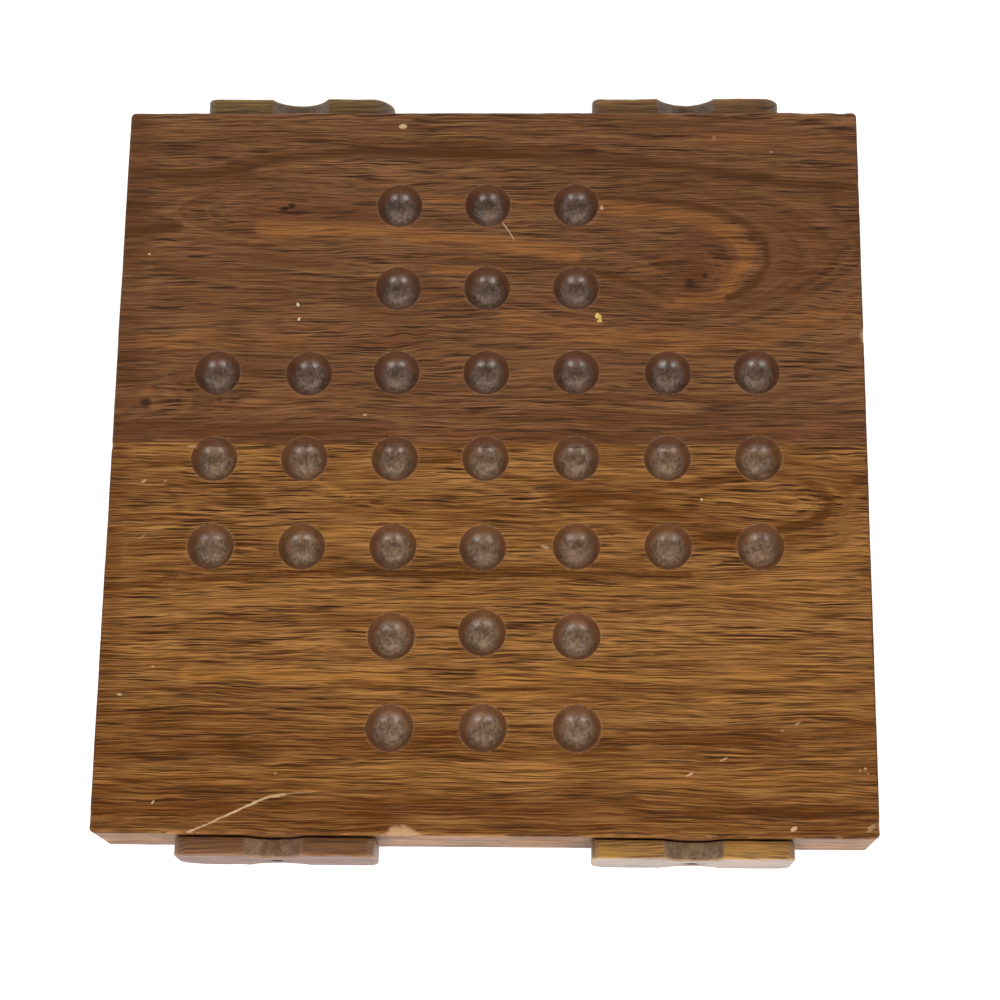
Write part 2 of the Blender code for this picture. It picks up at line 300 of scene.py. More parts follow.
def edgeOutline(x, y):
    # the rounded outline beside each border point of the lattice, and its outward direction
    halfX, halfY, corner = board["halfX"], board["halfY"], board["cornerRound"]
    inX, inY = halfX - board["rimInset"], halfY - board["rimInset"]
    onSide = np.abs(x) / inX >= np.abs(y) / inY
    along = np.where(onSide, y / inY, x / inX)
    straight = np.where(onSide, halfY, halfX) - corner
    walked = along * (straight + corner * math.pi / 4)
    past = np.clip(np.abs(walked) - straight, 0, None) / corner
    level = np.clip(walked, -straight, straight) + np.sign(walked) * corner * np.sin(past)
    out = np.where(onSide, halfX, halfY) - corner + corner * np.cos(past)
    outX = np.where(onSide, np.sign(x) * out, level)
    outY = np.where(onSide, level, np.sign(y) * out)
    normalX = np.where(onSide, np.sign(x) * np.cos(past), np.sign(walked) * np.sin(past))
    normalY = np.where(onSide, np.sign(walked) * np.sin(past), np.sign(y) * np.cos(past))
    return outX, outY, normalX, normalY


def chipDepth(x, y):
    # how far each place of the edge is broken away: a half circle's height along each chip, ragged a little
    ragged = ripple(31, 7, 9.0, 1.0, 2)
    depth = np.zeros(x.shape)
    for chipX, chipY, half, deep in edgeChips:
        away = np.hypot(x - chipX, y - chipY) / half
        depth = np.maximum(depth, deep * np.sqrt(np.clip(1 - away**2, 0, 1)) * (1 + 0.18 * ragged(x, y)))
    return depth


def boardMesh():
    # one closed skin: lattice and dimples on top, rounded edge rings, a coarser lattice below
    x, y = latticePoints()
    side = x.shape[0]
    sag = ripple(7, 8, 90.0, 12.0, 2)
    index = np.arange(side * side).reshape(side, side)
    top = np.stack([x, y, np.zeros_like(x)], axis=-1).reshape(-1, 3)
    steps, margin = board["cellSteps"], board["marginSteps"]
    plain = np.ones((side - 1, side - 1), bool)
    points, quads, fans = [top], [], []
    start = len(top)
    for number, (row, column, holeX, holeY) in enumerate(holeList()):
        corner = (margin + column * steps, margin + row * steps)
        plain[corner[0] : corner[0] + steps, corner[1] : corner[1] + steps] = False
        patch, ringQuads, fan = dimplePatch(x, y, corner, (holeX, holeY), 200 + number, start)
        points.append(patch)
        quads.append(ringQuads)
        fans.append(fan)
        start += len(patch)
    i, j = np.nonzero(plain)
    quads.append(np.stack([index[i, j], index[i + 1, j], index[i + 1, j + 1], index[i, j + 1]], axis=1))
    # the edge's rings, from the top's rim down to the underside
    loopI, loopJ = squareLoop(side - 1)
    borderX, borderY = x[loopI, loopJ], y[loopI, loopJ]
    outX, outY, normalX, normalY = edgeOutline(borderX, borderY)
    broken = chipDepth(outX, outY)
    wander = ripple(11, 9, 40.0, 3.0, 2)
    topWear, lowWear = board["edgeWear"]
    roundTop = board["edgeRound"] * (1 + topWear * wander(outX, outY)) + broken
    roundLow = board["edgeRound"] * (1 + lowWear * wander(outX + 50, outY))
    facesX = np.abs(normalX) > np.abs(normalY)
    toCorner = np.where(facesX, board["halfY"] - np.abs(outY), board["halfX"] - np.abs(outX))
    # an inset loop that went further would cross itself at the corner
    most = np.clip(toCorner, board["insetLeast"], board["insetMost"])
    roundTop = np.minimum(roundTop, most - board["ringGap"])  # short of the next ring, so that the two stay apart
    rings = [(roundTop + share * (most - roundTop), np.zeros(len(outX))) for share in (0.7, 0.35)]
    for angle in np.radians([0, 22, 45, 68, 90]):
        rings.append((roundTop * (1 - math.sin(angle)), -roundTop * (1 - math.cos(angle))))
    face = ripple(17, 8, 30.0, 5.0, 3)
    faceIn, faceWander = board["faceInset"]
    for share in (0.1, 0.22, 0.36, 0.5, 0.64, 0.78, 0.9):
        level = -roundTop + share * (roundTop + roundLow - board["top"])
        rings.append((faceIn + faceWander * face(outX, outY, level), level))
    for angle in np.radians([90, 45, 0]):
        rings.append((roundLow * (1 - math.sin(angle)), -board["top"] + roundLow * (1 - math.cos(angle))))
    rings.append((0.9 * most, np.full(len(outX), -board["top"])))
    loops = [index[loopI, loopJ]]
    for inset, level in rings:
        loop = np.stack([outX - normalX * inset, outY - normalY * inset, level], axis=-1)
        loops.append(start + np.arange(len(loop)))
        points.append(loop)
        start += len(loop)
    quads += [bandFaces(a, b) for a, b in zip(loops[:-1], loops[1:])]
    # the underside: every fourth border point, with seven-sided faces between the fine and the coarse border
    skip, shrink = board["lowSteps"], board["lowShare"]
    coarse = (side - 1) // skip
    lowX, lowY = x[::skip, ::skip] * shrink, y[::skip, ::skip] * shrink
    lowIndex = start + np.arange((coarse + 1) ** 2).reshape(coarse + 1, coarse + 1)
    points.append(np.stack([lowX, lowY, np.full_like(lowX, -board["top"])], axis=-1).reshape(-1, 3))
    i, j = np.indices((coarse, coarse)).reshape(2, -1)
    quads.append(np.stack([lowIndex[i, j], lowIndex[i, j + 1], lowIndex[i + 1, j + 1], lowIndex[i + 1, j]], axis=1))
    lowI, lowJ = squareLoop(coarse)
    lowLoop = lowIndex[lowI, lowJ]
    fine = loops[-1].reshape(-1, skip)
    joined = np.column_stack([fine, np.roll(fine[:, 0], -1), np.roll(lowLoop, -1), lowLoop])[:, ::-1]
    allPoints = np.concatenate(points)
    allPoints[:, 2] += board["top"]
    topIn, topWander = board["topInset"]
    flat = np.clip(allPoints[:, 2] - board["top"] + board["topReach"], 0, board["topReach"]) / board["topReach"]
    allPoints[:, 2] -= flat * (topIn + topWander * sag(allPoints[:, 0], allPoints[:, 1]))
    faces = np.concatenate(quads).tolist() + np.concatenate(fans).tolist() + joined.tolist()
    return meshFrom("board", allPoints, faces)


def halfOf(mesh, name, keepRear):
    # the part behind or before the glue line, its cut face closed
    half = bmesh.new()
    half.from_mesh(mesh)
    away = -1 if keepRear else 1
    line = (board["glueLine"] - away * board["glueGap"] / 2) * mm
    geometry = half.verts[:] + half.edges[:] + half.faces[:]
    bmesh.ops.bisect_plane(
        half, geom=geometry, dist=1e-7, plane_co=(0, line, 0), plane_no=(0, away, 0), clear_outer=True
    )
    openEdges = [edge for edge in half.edges if edge.is_boundary]
    bmesh.ops.holes_fill(half, edges=openEdges, sides=0)
    cutMesh = bpy.data.meshes.new(name)
    half.to_mesh(cutMesh)
    half.free()
    return cutMesh


wholeBoard = boardMesh()
rearMesh = halfOf(wholeBoard, "rearPlankWood", True)
frontMesh = halfOf(wholeBoard, "frontPlankWood", False)
bpy.data.meshes.remove(wholeBoard)
print("planks shaped:", len(rearMesh.polygons), len(frontMesh.polygons), "faces")

# Growth rings as drawn by the wood: a ring number and places that its line runs through, x and y in mm
rearRings = [
    (0, [
        (-70, 74.5), (-59, 75), (-50, 74.5), (-40, 74), (-20, 71.5), (0, 69.5), (20, 67.5), (36, 65),
        (50, 60), (59, 54)
    ]),
    (5, [
        (-76, 78), (-62, 80), (-45, 79), (-20, 77), (0, 75.5), (20, 74), (40, 72), (56, 69), (66, 64),
        (69, 57), (65, 50)
    ]),
    (10, [
        (-86, 79), (-73, 83.5), (-60, 85), (-40, 84.5), (-20, 82), (0, 80), (28, 78.6), (45, 77),
        (58, 75.6), (67, 73)
    ]),
    (10, [
        (73, 69.5), (77.5, 64), (78, 58), (74.5, 53), (68, 48.8), (60, 45.8), (52, 46.5), (45, 50.5),
        (33, 55.5), (20, 58.4)
    ]),
    (10, [(0, 59), (-20, 60.5), (-40, 62), (-55, 63), (-70, 65), (-82, 67.5), (-92, 72)]),
    (16, [
        (20, 87), (45, 84.5), (62, 81.5), (80, 76), (92, 69.5), (99, 62), (94, 55), (84, 49), (68, 42.5), (50, 40.5)
    ]),
    (16, [(25, 46), (0, 50.5), (-20, 51.5), (-45, 51.6), (-60, 54), (-75, 56.5), (-90, 60), (-105, 64)]),
    (20, [
        (-105, 88), (-98, 86.2), (-90, 85.2), (-80, 85.8), (-70, 88), (-60, 90.8), (-40, 93), (-20, 93), (0, 92.6)
    ]),
    (20, [(10, 92.5), (25, 91.5), (40, 90), (55, 88), (70, 86), (85, 83.5), (105, 81.5)]),
    (25, [(-105, 97), (-60, 98.5), (0, 98), (60, 96), (105, 91)]),
    (32, [(-105, 105), (-40, 106), (40, 105.5), (105, 101)]),
    (25, [(-105, 46), (-60, 45), (-30, 44), (0, 44.5), (30, 39), (50, 36), (80, 39), (105, 52)]),
    (33, [(-105, 35), (-60, 34), (-20, 35.5), (0, 34), (50, 30), (80, 32), (105, 40)]),
    (45, [(-84, 22), (-60, 21), (0, 19.5), (50, 18.5), (105, 21)]),
    (52, [(-60, 12), (0, 12.5), (50, 11.5), (105, 13)]),
    (60, [(-105, 4), (-50, 4), (0, 4), (50, 4), (105, 4)]),
    (40, [(-105, 27), (-96, 26), (-88, 21), (-90, 12), (-105, 9)]),
]
frontRings = [
    (0, [(66, -12.5), (75, -12.7), (85, -12.8)]),
    (4, [
        (60, -10), (70, -8.6), (80, -8.2), (88, -10), (91, -12.8), (88, -16), (80, -17.8), (70, -18.2), (60, -16.5)
    ]),
    (4.5, [(22, -10.5), (35, -12.5), (46, -13.5)]),
    (7, [(3, -4.6), (12, -6.5), (22, -8), (35, -8.8), (50, -8.8), (59, -7.2), (68, -5.2), (78, -4.4), (87, -5.8)]),
    (7, [
        (93, -9), (95.6, -12.6), (93, -16.4), (86, -19.2), (74, -21.3), (60, -21.5), (45, -18.5), (30, -15),
        (14, -10.5)
    ]),
    (11, [(-40, -4), (-20, -1), (5, 0.5), (30, 0), (60, 1.2), (80, 1.2), (92, -1.5), (105, -4.5)]),
    (13, [(-104, -8), (-80, -2), (-55, 3), (-20, 5)]),
    (12, [(-30, -12), (5, -14), (30, -21), (50, -27), (70, -29), (85, -27), (97, -22.5), (105, -19)]),
    (15.5, [(-105, -19), (-95, -16.8), (-85, -16), (-75, -15), (-60, -16), (-30, -20), (0, -25)]),
    (20, [
        (-105, -37), (-90, -35.6), (-70, -34.6), (-45, -33.2), (-20, -33.5), (0, -33), (50, -33.4),
        (80, -32), (105, -28.5)
    ]),
    (32, [(-105, -49.6), (-90, -48.5), (-75, -47), (-60, -46), (-45, -45.5), (-20, -45.2), (0, -45.4), (10, -44)]),
    (32, [(20, -42.7), (35, -42), (60, -42.6), (105, -42)]),
    (45, [(-105, -60), (-50, -59.5), (0, -59), (50, -57.3), (105, -59)]),
    (55, [(-105, -70), (0, -69), (105, -69.5)]),
    (65, [(-105, -80), (0, -79), (105, -79)]),
    (79, [(-105, -93), (0, -93), (105, -92.5)]),
    (91, [(-105, -105), (0, -105.5), (105, -105)]),
]

# Brushed-in tones, each with its strokes: how strong, half width in mm, places the stroke runs through
rearTones = {
    "dark": [
        (0.85, 1.5, [
            (-76, 89), (-60, 91), (-40, 93), (-20, 93), (0, 92.5), (25, 91.5), (40, 90), (55, 88), (70, 86),
            (85, 83.5), (107, 81.5)
        ]),
        (0.9, 2.8, [(-107, 88.5), (-98, 86.5), (-90, 85.2), (-80, 85.6), (-71, 87.5)]),
        (0.9, 1.7, [(-107, 68.3), (-98, 68.5), (-91, 69.6)]),
        (0.4, 0.9, [(-40, 96), (-20, 95.8), (0, 95.4), (30, 94)]),
        (0.55, 2.3, [(-95, 57.5), (-80, 56), (-60, 53.5), (-45, 51.5), (-15, 51.8)]),
        (0.45, 1.0, [(-78, 61), (-60, 58.6), (-45, 58)]),
        (0.35, 0.9, [(-92, 73), (-85, 78.6), (-74, 83.2), (-60, 85.4), (-45, 85.6)]),
        (0.45, 1.1, [(-42, 46.5), (-20, 45.5), (6, 45)]),
        (0.6, 0.9, [(-10, 59.5), (0, 58.4), (15, 58.3), (25, 57.3), (35, 54.3), (45, 50.2), (52, 46.8)]),
        (0.75, 1.0, [
            (28, 79), (45, 77.8), (58, 76.6), (67, 74), (74, 70), (78.8, 64.5), (79.2, 58), (75.5, 52), (68, 48)
        ]),
        (0.4, 0.9, [(20, 88), (40, 85.8), (60, 82.5), (78, 77.8), (91, 71), (100, 62), (95, 55), (85, 49)]),
        (0.3, 0.8, [(45, 81.5), (62, 79.2), (76, 74.4), (85, 68), (89, 61), (86, 54), (78, 48), (66, 42.6)]),
        (0.3, 0.9, [(96, 78), (103, 70), (106, 62)]),
        (0.5, 3.0, [(-107, 9), (-60, 8), (-28, 8)]),
        (0.4, 1.3, [(-107, 15), (-92, 12.5)]),
        (0.35, 0.9, [(8, 18.6), (50, 17.6), (105, 19)]),
        (0.4, 1.6, [(10, 12.8), (50, 11.5), (105, 13)]),
        (0.3, 1.2, [(0, 7), (60, 6.5), (105, 7.5)]),
        (0.3, 1.4, [(30, 29), (55, 29.5), (85, 31), (106, 36)]),
        (0.48, 7.0, [(-105.5, 106), (-105.5, 4)]),
        # the next two are thin strokes of painted shade along the left and right edges
        (0.95, 0.5, [(-106, 106), (-106, 4)]),
        (0.95, 0.5, [(106, 106), (106, 4)]),
        (0.2, 4.0, [(-107, 95), (-60, 96.5), (-20, 98)]),
        (0.2, 4.0, [(-107, 50), (-60, 47), (-20, 46)]),
        (0.35, 3.0, [(56, 53), (60, 54)]),
    ],
    "red": [
        (0.7, 4.2, [(-70, 75), (-59, 75.6), (-46, 74.8), (-32, 74)]),
        (0.85, 7.0, [(52, 57), (58, 55), (64, 58), (60, 63)]),
        (0.35, 4.0, [(-36, 37), (-18, 36)]),
        (0.4, 4.0, [(-107, 6), (0, 6), (107, 6.5)]),
        (0.4, 4.0, [(84, 74), (96, 62), (86, 50)]),
    ],
    "gold": [
        (0.8, 2.4, [(-66, 69), (-50, 68.6), (-35, 68.6), (-20, 67), (-8, 65.5), (4, 64), (14, 63), (24, 61.3)]),
        (1.0, 2.5, [
            (28, 76.2), (40, 75.4), (52, 74.3), (62, 71.8), (69, 67.6), (73.4, 62), (72, 56), (67.5, 51.4)
        ]),
        (0.9, 1.6, [(51, 46), (58, 46.8), (66, 48.6)]),
        (0.5, 1.4, [(-16, 56.8), (-2, 56.6)]),
        (0.55, 1.6, [(-18, 77.5), (0, 77.2), (16, 76.4)]),
        (0.5, 3.4, [(6, 39.5), (25, 37.5), (50, 34.5), (75, 36), (106, 45)]),
        (0.4, 2.0, [(-107, 35), (-85, 34.6), (-55, 34)]),
        (0.35, 1.6, [(-107, 98), (-92, 98.5)]),
        (0.3, 2.2, [(60, 97), (107, 96)]),
    ],
}
frontTones = {
    "dark": [
        (0.6, 4.6, [(20, -10.8), (30, -12), (42, -13.4), (54, -14.8)]),
        (0.35, 4.4, [(44, -17), (54, -19), (62, -20.5)]),
        (0.7, 0.9, [
            (3, -4.6), (12, -6.5), (22, -8), (35, -8.8), (50, -8.8), (59, -7.2), (68, -5.2), (78, -4.4), (87, -5.8)
        ]),
        (0.75, 1.3, [(87, -5.8), (93, -9), (95.6, -12.6), (93, -16.4), (86, -19.2), (74, -21.3), (60, -21.8)]),
        (0.45, 2.0, [(55, -23), (68, -24.5), (80, -24.5), (92, -22)]),
        (0.4, 3.4, [(84, -0.5), (93, -2.5), (101, -7)]),
        (0.5, 0.8, [(80, -27.2), (90, -26.4), (99, -24)]),
        (0.55, 0.8, [(-107, -19.4), (-95, -16.8), (-85, -16), (-75, -14), (-66, -12)]),
        (0.5, 2.2, [(-71, -8.5), (-66, -10), (-64, -13)]),
        (0.4, 3.0, [(-107, -22), (-104, -30), (-107, -40)]),
        (0.3, 2.4, [(-98, -26.5), (-86, -27)]),
        (0.75, 0.9, [
            (-107, -37.4), (-90, -35.8), (-70, -34.7), (-45, -33.2), (-20, -33.6), (0, -33.2), (30, -33),
            (56, -33.6)
        ]),
        (0.4, 1.3, [(-107, -33), (-85, -32.4), (-60, -31.4)]),
        (0.3, 1.6, [(-20, -31), (20, -31), (50, -31.8)]),
        (0.45, 0.7, [(-20, -0.6), (-10, -0.6)]),
        (0.5, 3.2, [(-92, -75), (-60, -76), (-25, -79), (0, -78), (35, -77), (62, -78), (105, -75)]),
        (0.35, 1.6, [(-105, -84), (-40, -84.5), (20, -83)]),
        (0.6, 3.0, [(-107, -99), (-60, -99.5), (-18, -97), (0, -98.6), (50, -98), (107, -98)]),
        (0.7, 1.6, [(-8, -104), (10, -103.8), (32, -104.4)]),
        (0.4, 1.8, [(-107, -103.6), (107, -103.4)]),
        (0.26, 17.0, [(-107, -92), (107, -92)]),
        (0.4, 3.6, [(0, -82.5), (14, -82), (36, -82.5)]),
        (0.25, 6.0, [(-50, -99), (0, -99), (50, -99)]),
        (0.3, 4.5, [(-105.5, -106), (-105.5, 4)]),
        # the next two are thin strokes of painted shade along the left and right edges
        (0.95, 0.5, [(-106, -106), (-106, 4)]),
        (0.95, 0.5, [(106, -106), (106, 4)]),
        (0.35, 0.8, [(-105, -66.6), (-20, -65.6), (60, -65.4), (106, -65)]),
        (0.4, 0.7, [(40, -57.4), (70, -58.2), (106, -59)]),
    ],
    "red": [
        (0.35, 5.0, [(-107, -100), (0, -100), (107, -99)]),
        (0.3, 3.0, [(82, -2), (98, -4)]),
    ],
    "gold": [
        (0.12, 4.2, [(65, -12.4), (75, -12.7), (86, -12.6)]),
        (0.4, 3.2, [(-85, -40.5), (-60, -39.6), (-30, -39), (0, -39), (40, -37.8), (106, -37.5)]),
        (0.12, 5.0, [(-107, -55.5), (-60, -56), (0, -54.5), (60, -52.5), (106, -51.5)]),
        (0.8, 2.2, [(-82, -61.6), (-50, -62.2), (-25, -63)]),
        (0.55, 2.6, [(0, -62), (50, -62), (106, -63)]),
        (0.45, 2.4, [(0, -69), (50, -69.5), (106, -70)]),
        (0.85, 0.8, [(-68, 2), (-57, -1.5), (-45, -8.5), (-33, -13.5), (-24, -17.5)]),
        (0.4, 3.0, [(-107, -90), (0, -88.6), (106, -90)]),
        (0.5, 3.4, [(88, -30), (98, -28.5), (107, -26)]),
        (0.45, 1.2, [(-107, 3), (-78, 3)]),
        (0.4, 2.4, [(-60, -22), (-20, -22), (10, -24)]),
    ],
}
# Knots: x, y, reach along, reach across, push: the fibres part round each
knots = [
    (-58.5, 75.5, 9, 3.0, 1.6),
    (59.0, 54.0, 12, 5.5, 1.6),
    (-96.0, 17.0, 5, 2.5, 1.2),
    (85.0, -12.0, 14, 6.0, 2.2),
]
# Curly places: x, y, reach along, reach across, strength
curls = [(90, 58, 14, 14, 1), (93, -3, 10, 6, 1), (-26, 36, 14, 8, 0.8), (-84, 72, 10, 9, 0.6)]
# How the figure runs through the planks
fibreRun = {
    "ringStretch": 3.0,  # rings reach this much further along the fibres than across
    "ringsDown": 0.55,  # rings passed per mm below the top
    "ringWander": 0.5,
    "downPull": 0.8,
    "toneDepth": (16, 3),  # mm below the top between which the tones come in
    "frontOffset": 700,  # mm along the fibres, so that the planks differ
    "slowSway": 0.7,  # mm
    "quickSway": 0.12,
    "curlSway": 0.45,
    "strokeRagged": 0.35,  # mm
    "strokeFade": 0.85,
    "strokeUneven": 0.25,
}


def thinPlate(rings, stretch, smooth=0.02, batch=20000):
    # the smoothest bent sheet through all the listed ring places: r squared times log r about each, and a plane
    x = np.array([place[0] / stretch for _, line in rings for place in line])
    y = np.array([place[1] for _, line in rings for place in line])
    number = np.array([ring for ring, line in rings for _ in line], float)
    count = len(x)

    def bend(squared):
        return 0.5 * squared * np.log(np.maximum(squared, 1e-9))

    system = np.zeros((count + 3, count + 3))
    system[:count, :count] = bend((x[:, None] - x) ** 2 + (y[:, None] - y) ** 2) + smooth * np.eye(count) * count
    system[:count, count:] = np.stack([np.ones(count), x, y], axis=1)
    system[count:, :count] = system[:count, count:].T
    weights = np.linalg.solve(system, np.concatenate([number, np.zeros(3)]))

    def ringNumber(atX, atY):
        total = weights[count] + weights[count + 1] * atX / stretch + weights[count + 2] * atY
        for start in range(0, len(atX), batch):
            part = slice(start, start + batch)
            squared = (atX[part, None] / stretch - x) ** 2 + (atY[part, None] - y) ** 2
            total[part] += bend(squared) @ weights[:count]
        return total

    return ringNumber


def fibreLine(x, y):
    # which fibre a place lies on: its y, pushed apart round the knots and rippled by slow waves
    fibre = y.copy()
    for knotX, knotY, along, across, push in knots:
        dx, dy = (x - knotX) / along, (y - knotY) / across
        fibre -= push * np.tanh(1.6 * dy) * np.exp(-(dx**2) - 0.5 * dy**2)
    slow = ripple(41, 9, 160.0, 30.0, 2)
    quick = ripple(43, 9, 26.0, 6.0, 2)
    curl = np.zeros(x.shape)
    for curlX, curlY, along, across, strength in curls:
        curl += strength * np.exp(-(((x - curlX) / along) ** 2) - ((y - curlY) / across) ** 2)
    quickSway = fibreRun["quickSway"] + fibreRun["curlSway"] * curl
    return fibre + fibreRun["slowSway"] * slow(x * 0.6, y * 2.2) + quickSway * quick(x, y * 1.6)


def toneFields(x, y, strokes):
    # dark, gold and red at each place: the strongest stroke there, falling off past its half width
    ragged = ripple(53, 10, 30.0, 2.5, 2)
    wave = ragged(x * 0.25, y)
    fields = {"dark": np.zeros(x.shape), "gold": np.zeros(x.shape), "red": np.zeros(x.shape)}
    for tone, lines in strokes.items():
        for strength, half, line in lines:
            away = toPolyline(x, y + fibreRun["strokeRagged"] * wave, line) / half
            laid = strength * np.exp(-0.5 * (away / fibreRun["strokeFade"]) ** 4)
            laid *= 1 + fibreRun["strokeUneven"] * wave
            fields[tone] = np.maximum(fields[tone], laid)
    return np.clip(np.stack([fields["dark"], fields["gold"], fields["red"]], axis=1), 0, 1)


def grainAttributes(mesh, rings, strokes, offset):
    # the wood's own places at each vertex: along, across and down the fibres, ring number, tones, and wear
    x, y, z = pointsOf(mesh)
    down = board["top"] - z
    ringNumber = thinPlate(rings, fibreRun["ringStretch"])(x, y) + fibreRun["ringsDown"] * down
    ringWave = ripple(61, 9, 60.0, 8.0, 2)
    setAttribute(mesh, "grainFlow", np.stack([x + offset, fibreLine(x, y), down * fibreRun["downPull"]], axis=1))
    setAttribute(mesh, "ringNumber", ringNumber + fibreRun["ringWander"] * ringWave(x * 0.35, y))
    tones = toneFields(x, y, strokes) * smoothStep(*fibreRun["toneDepth"], down)[:, None]
    setAttribute(mesh, "grainTone", tones)
    reach = np.full(x.shape, farAway)
    for _, _, holeX, holeY in holeList():
        reach = np.minimum(reach, np.hypot(x - holeX, y - holeY))
    reach[down > board["dimpleDepth"] + 1] = farAway  # the dimples' look stays off the underside
    edgeX, edgeY = board["halfX"] - np.abs(x), board["halfY"] - np.abs(y)
    edge = np.hypot(np.minimum(edgeX, edgeY), down)
    edge = np.minimum(edge, np.hypot(edgeX, edgeY))
    broken = smoothStep(0.1, 0.45, chipDepth(x, y) - 0.6 * edge)
    setAttribute(mesh, "wear", np.stack([reach, edge, broken], axis=1))
    setAttribute(mesh, "sawnEnd", smoothStep(0.6, 0.25, edgeX) * smoothStep(0.2, 0.6, down))


grainAttributes(rearMesh, rearRings, rearTones, 0)
grainAttributes(frontMesh, frontRings, frontTones, fibreRun["frontOffset"])
for mesh in (rearMesh, frontMesh):
    finishMesh(mesh, 48)
print("grain laid out")

# The four waisted bars that turn on their pins
turnButton = {
    "length": 54.5,
    "height": 21.2,
    "thickness": 5.2,
    "centreX": 56.45,
    "centreZ": 13.0,
    "middleY": 108.4,
    "notchWidth": 16.0,
    "notchDepth": 4.6,
    "shoulderRound": 0.5,
    "edgeRound": 0.55,
    "pinHole": 1.1,  # radius
    "headRecess": 1.6,  # radius
    "recessDepth": 1.5,
    "around": 240,
    "edgeLeast": 0.25,
    "edgeMost": 1.3,
    "backShare": 0.45,  # the side against the board is crisper
    "faceDents": (0.065, 0.035),  # how far the faces lie in, and wander
    "evenShare": 0.03,
}
# Which side each bar is on, in x and y, and its corner radii: outer top, inner top, inner bottom, outer bottom
buttonPlaces = {
    "FrontLeft": (-1, -1, (4.2, 2.6, 4.2, 7.5)),
    "FrontRight": (1, -1, (2.6, 2.6, 4.2, 4.2)),
    "RearLeft": (-1, 1, (2.6, 7.5, 4.2, 2.6)),
    "RearRight": (1, 1, (4.2, 2.6, 2.6, 4.2)),
}


def cornerNode(kind, signX, signY):
    # the name of one corner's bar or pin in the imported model
    return f"{kind}_{'front' if signY < 0 else 'rear'}_{'left' if signX < 0 else 'right'}"


def onEdge(local, signX, signY, outY):
    # places along, up and out from a bar's middle, carried to the board's front or rear edge
    x = signX * turnButton["centreX"] - signY * local[:, 0]
    y = signY * (outY + local[:, 2])
    z = turnButton["centreZ"] + local[:, 1]
    return np.stack([x, y, z], axis=1)


def arc(centre, radius, start, end, steps):
    angle = np.linspace(start, end, steps)
    return np.stack([centre[0] + radius * np.cos(angle), centre[1] + radius * np.sin(angle)], axis=1)


def notchLine(upward):
    # a round bite out of the long edge: a small convex shoulder, the bite's own arc, the other shoulder
    half, deep, shoulder = turnButton["notchWidth"] / 2, turnButton["notchDepth"], turnButton["shoulderRound"]
    edge = turnButton["height"] / 2
    bite = (half**2 + deep**2) / (2 * deep)
    biteY = edge + bite - deep
    shoulderY = edge - shoulder
    shoulderX = math.sqrt((bite + shoulder) ** 2 - (biteY - shoulderY) ** 2)
    lean = math.atan2(biteY - shoulderY, shoulderX)
    line = np.concatenate([
        arc((shoulderX, shoulderY), shoulder, math.pi / 2, math.pi - lean, 7),
        arc((0, biteY), bite, -lean, lean - math.pi, 30)[1:-1],
        arc((-shoulderX, shoulderY), shoulder, lean, math.pi / 2, 7),
    ])
    return line if upward else -line


def buttonOutline(radii, count):
    # the bar's outline anticlockwise from its right end, then shared out evenly along its length
    halfX, halfY = turnButton["length"] / 2, turnButton["height"] / 2
    line = []
    for k, ((signX, signY), radius) in enumerate(zip(((1, 1), (-1, 1), (-1, -1), (1, -1)), radii)):
        centre = (signX * (halfX - radius), signY * (halfY - radius))
        line.append(arc(centre, radius, k * math.pi / 2, (k + 1) * math.pi / 2, 12))
        if signX * signY > 0:
            line.append(notchLine(signY > 0))
    line = np.concatenate(line + [line[0][:1]])
    walked = np.concatenate([[0], np.cumsum(np.hypot(*np.diff(line, axis=0).T))])
    stops = np.linspace(0, walked[-1], count, endpoint=False)
    return np.stack([np.interp(stops, walked, line[:, 0]), np.interp(stops, walked, line[:, 1])], axis=1)


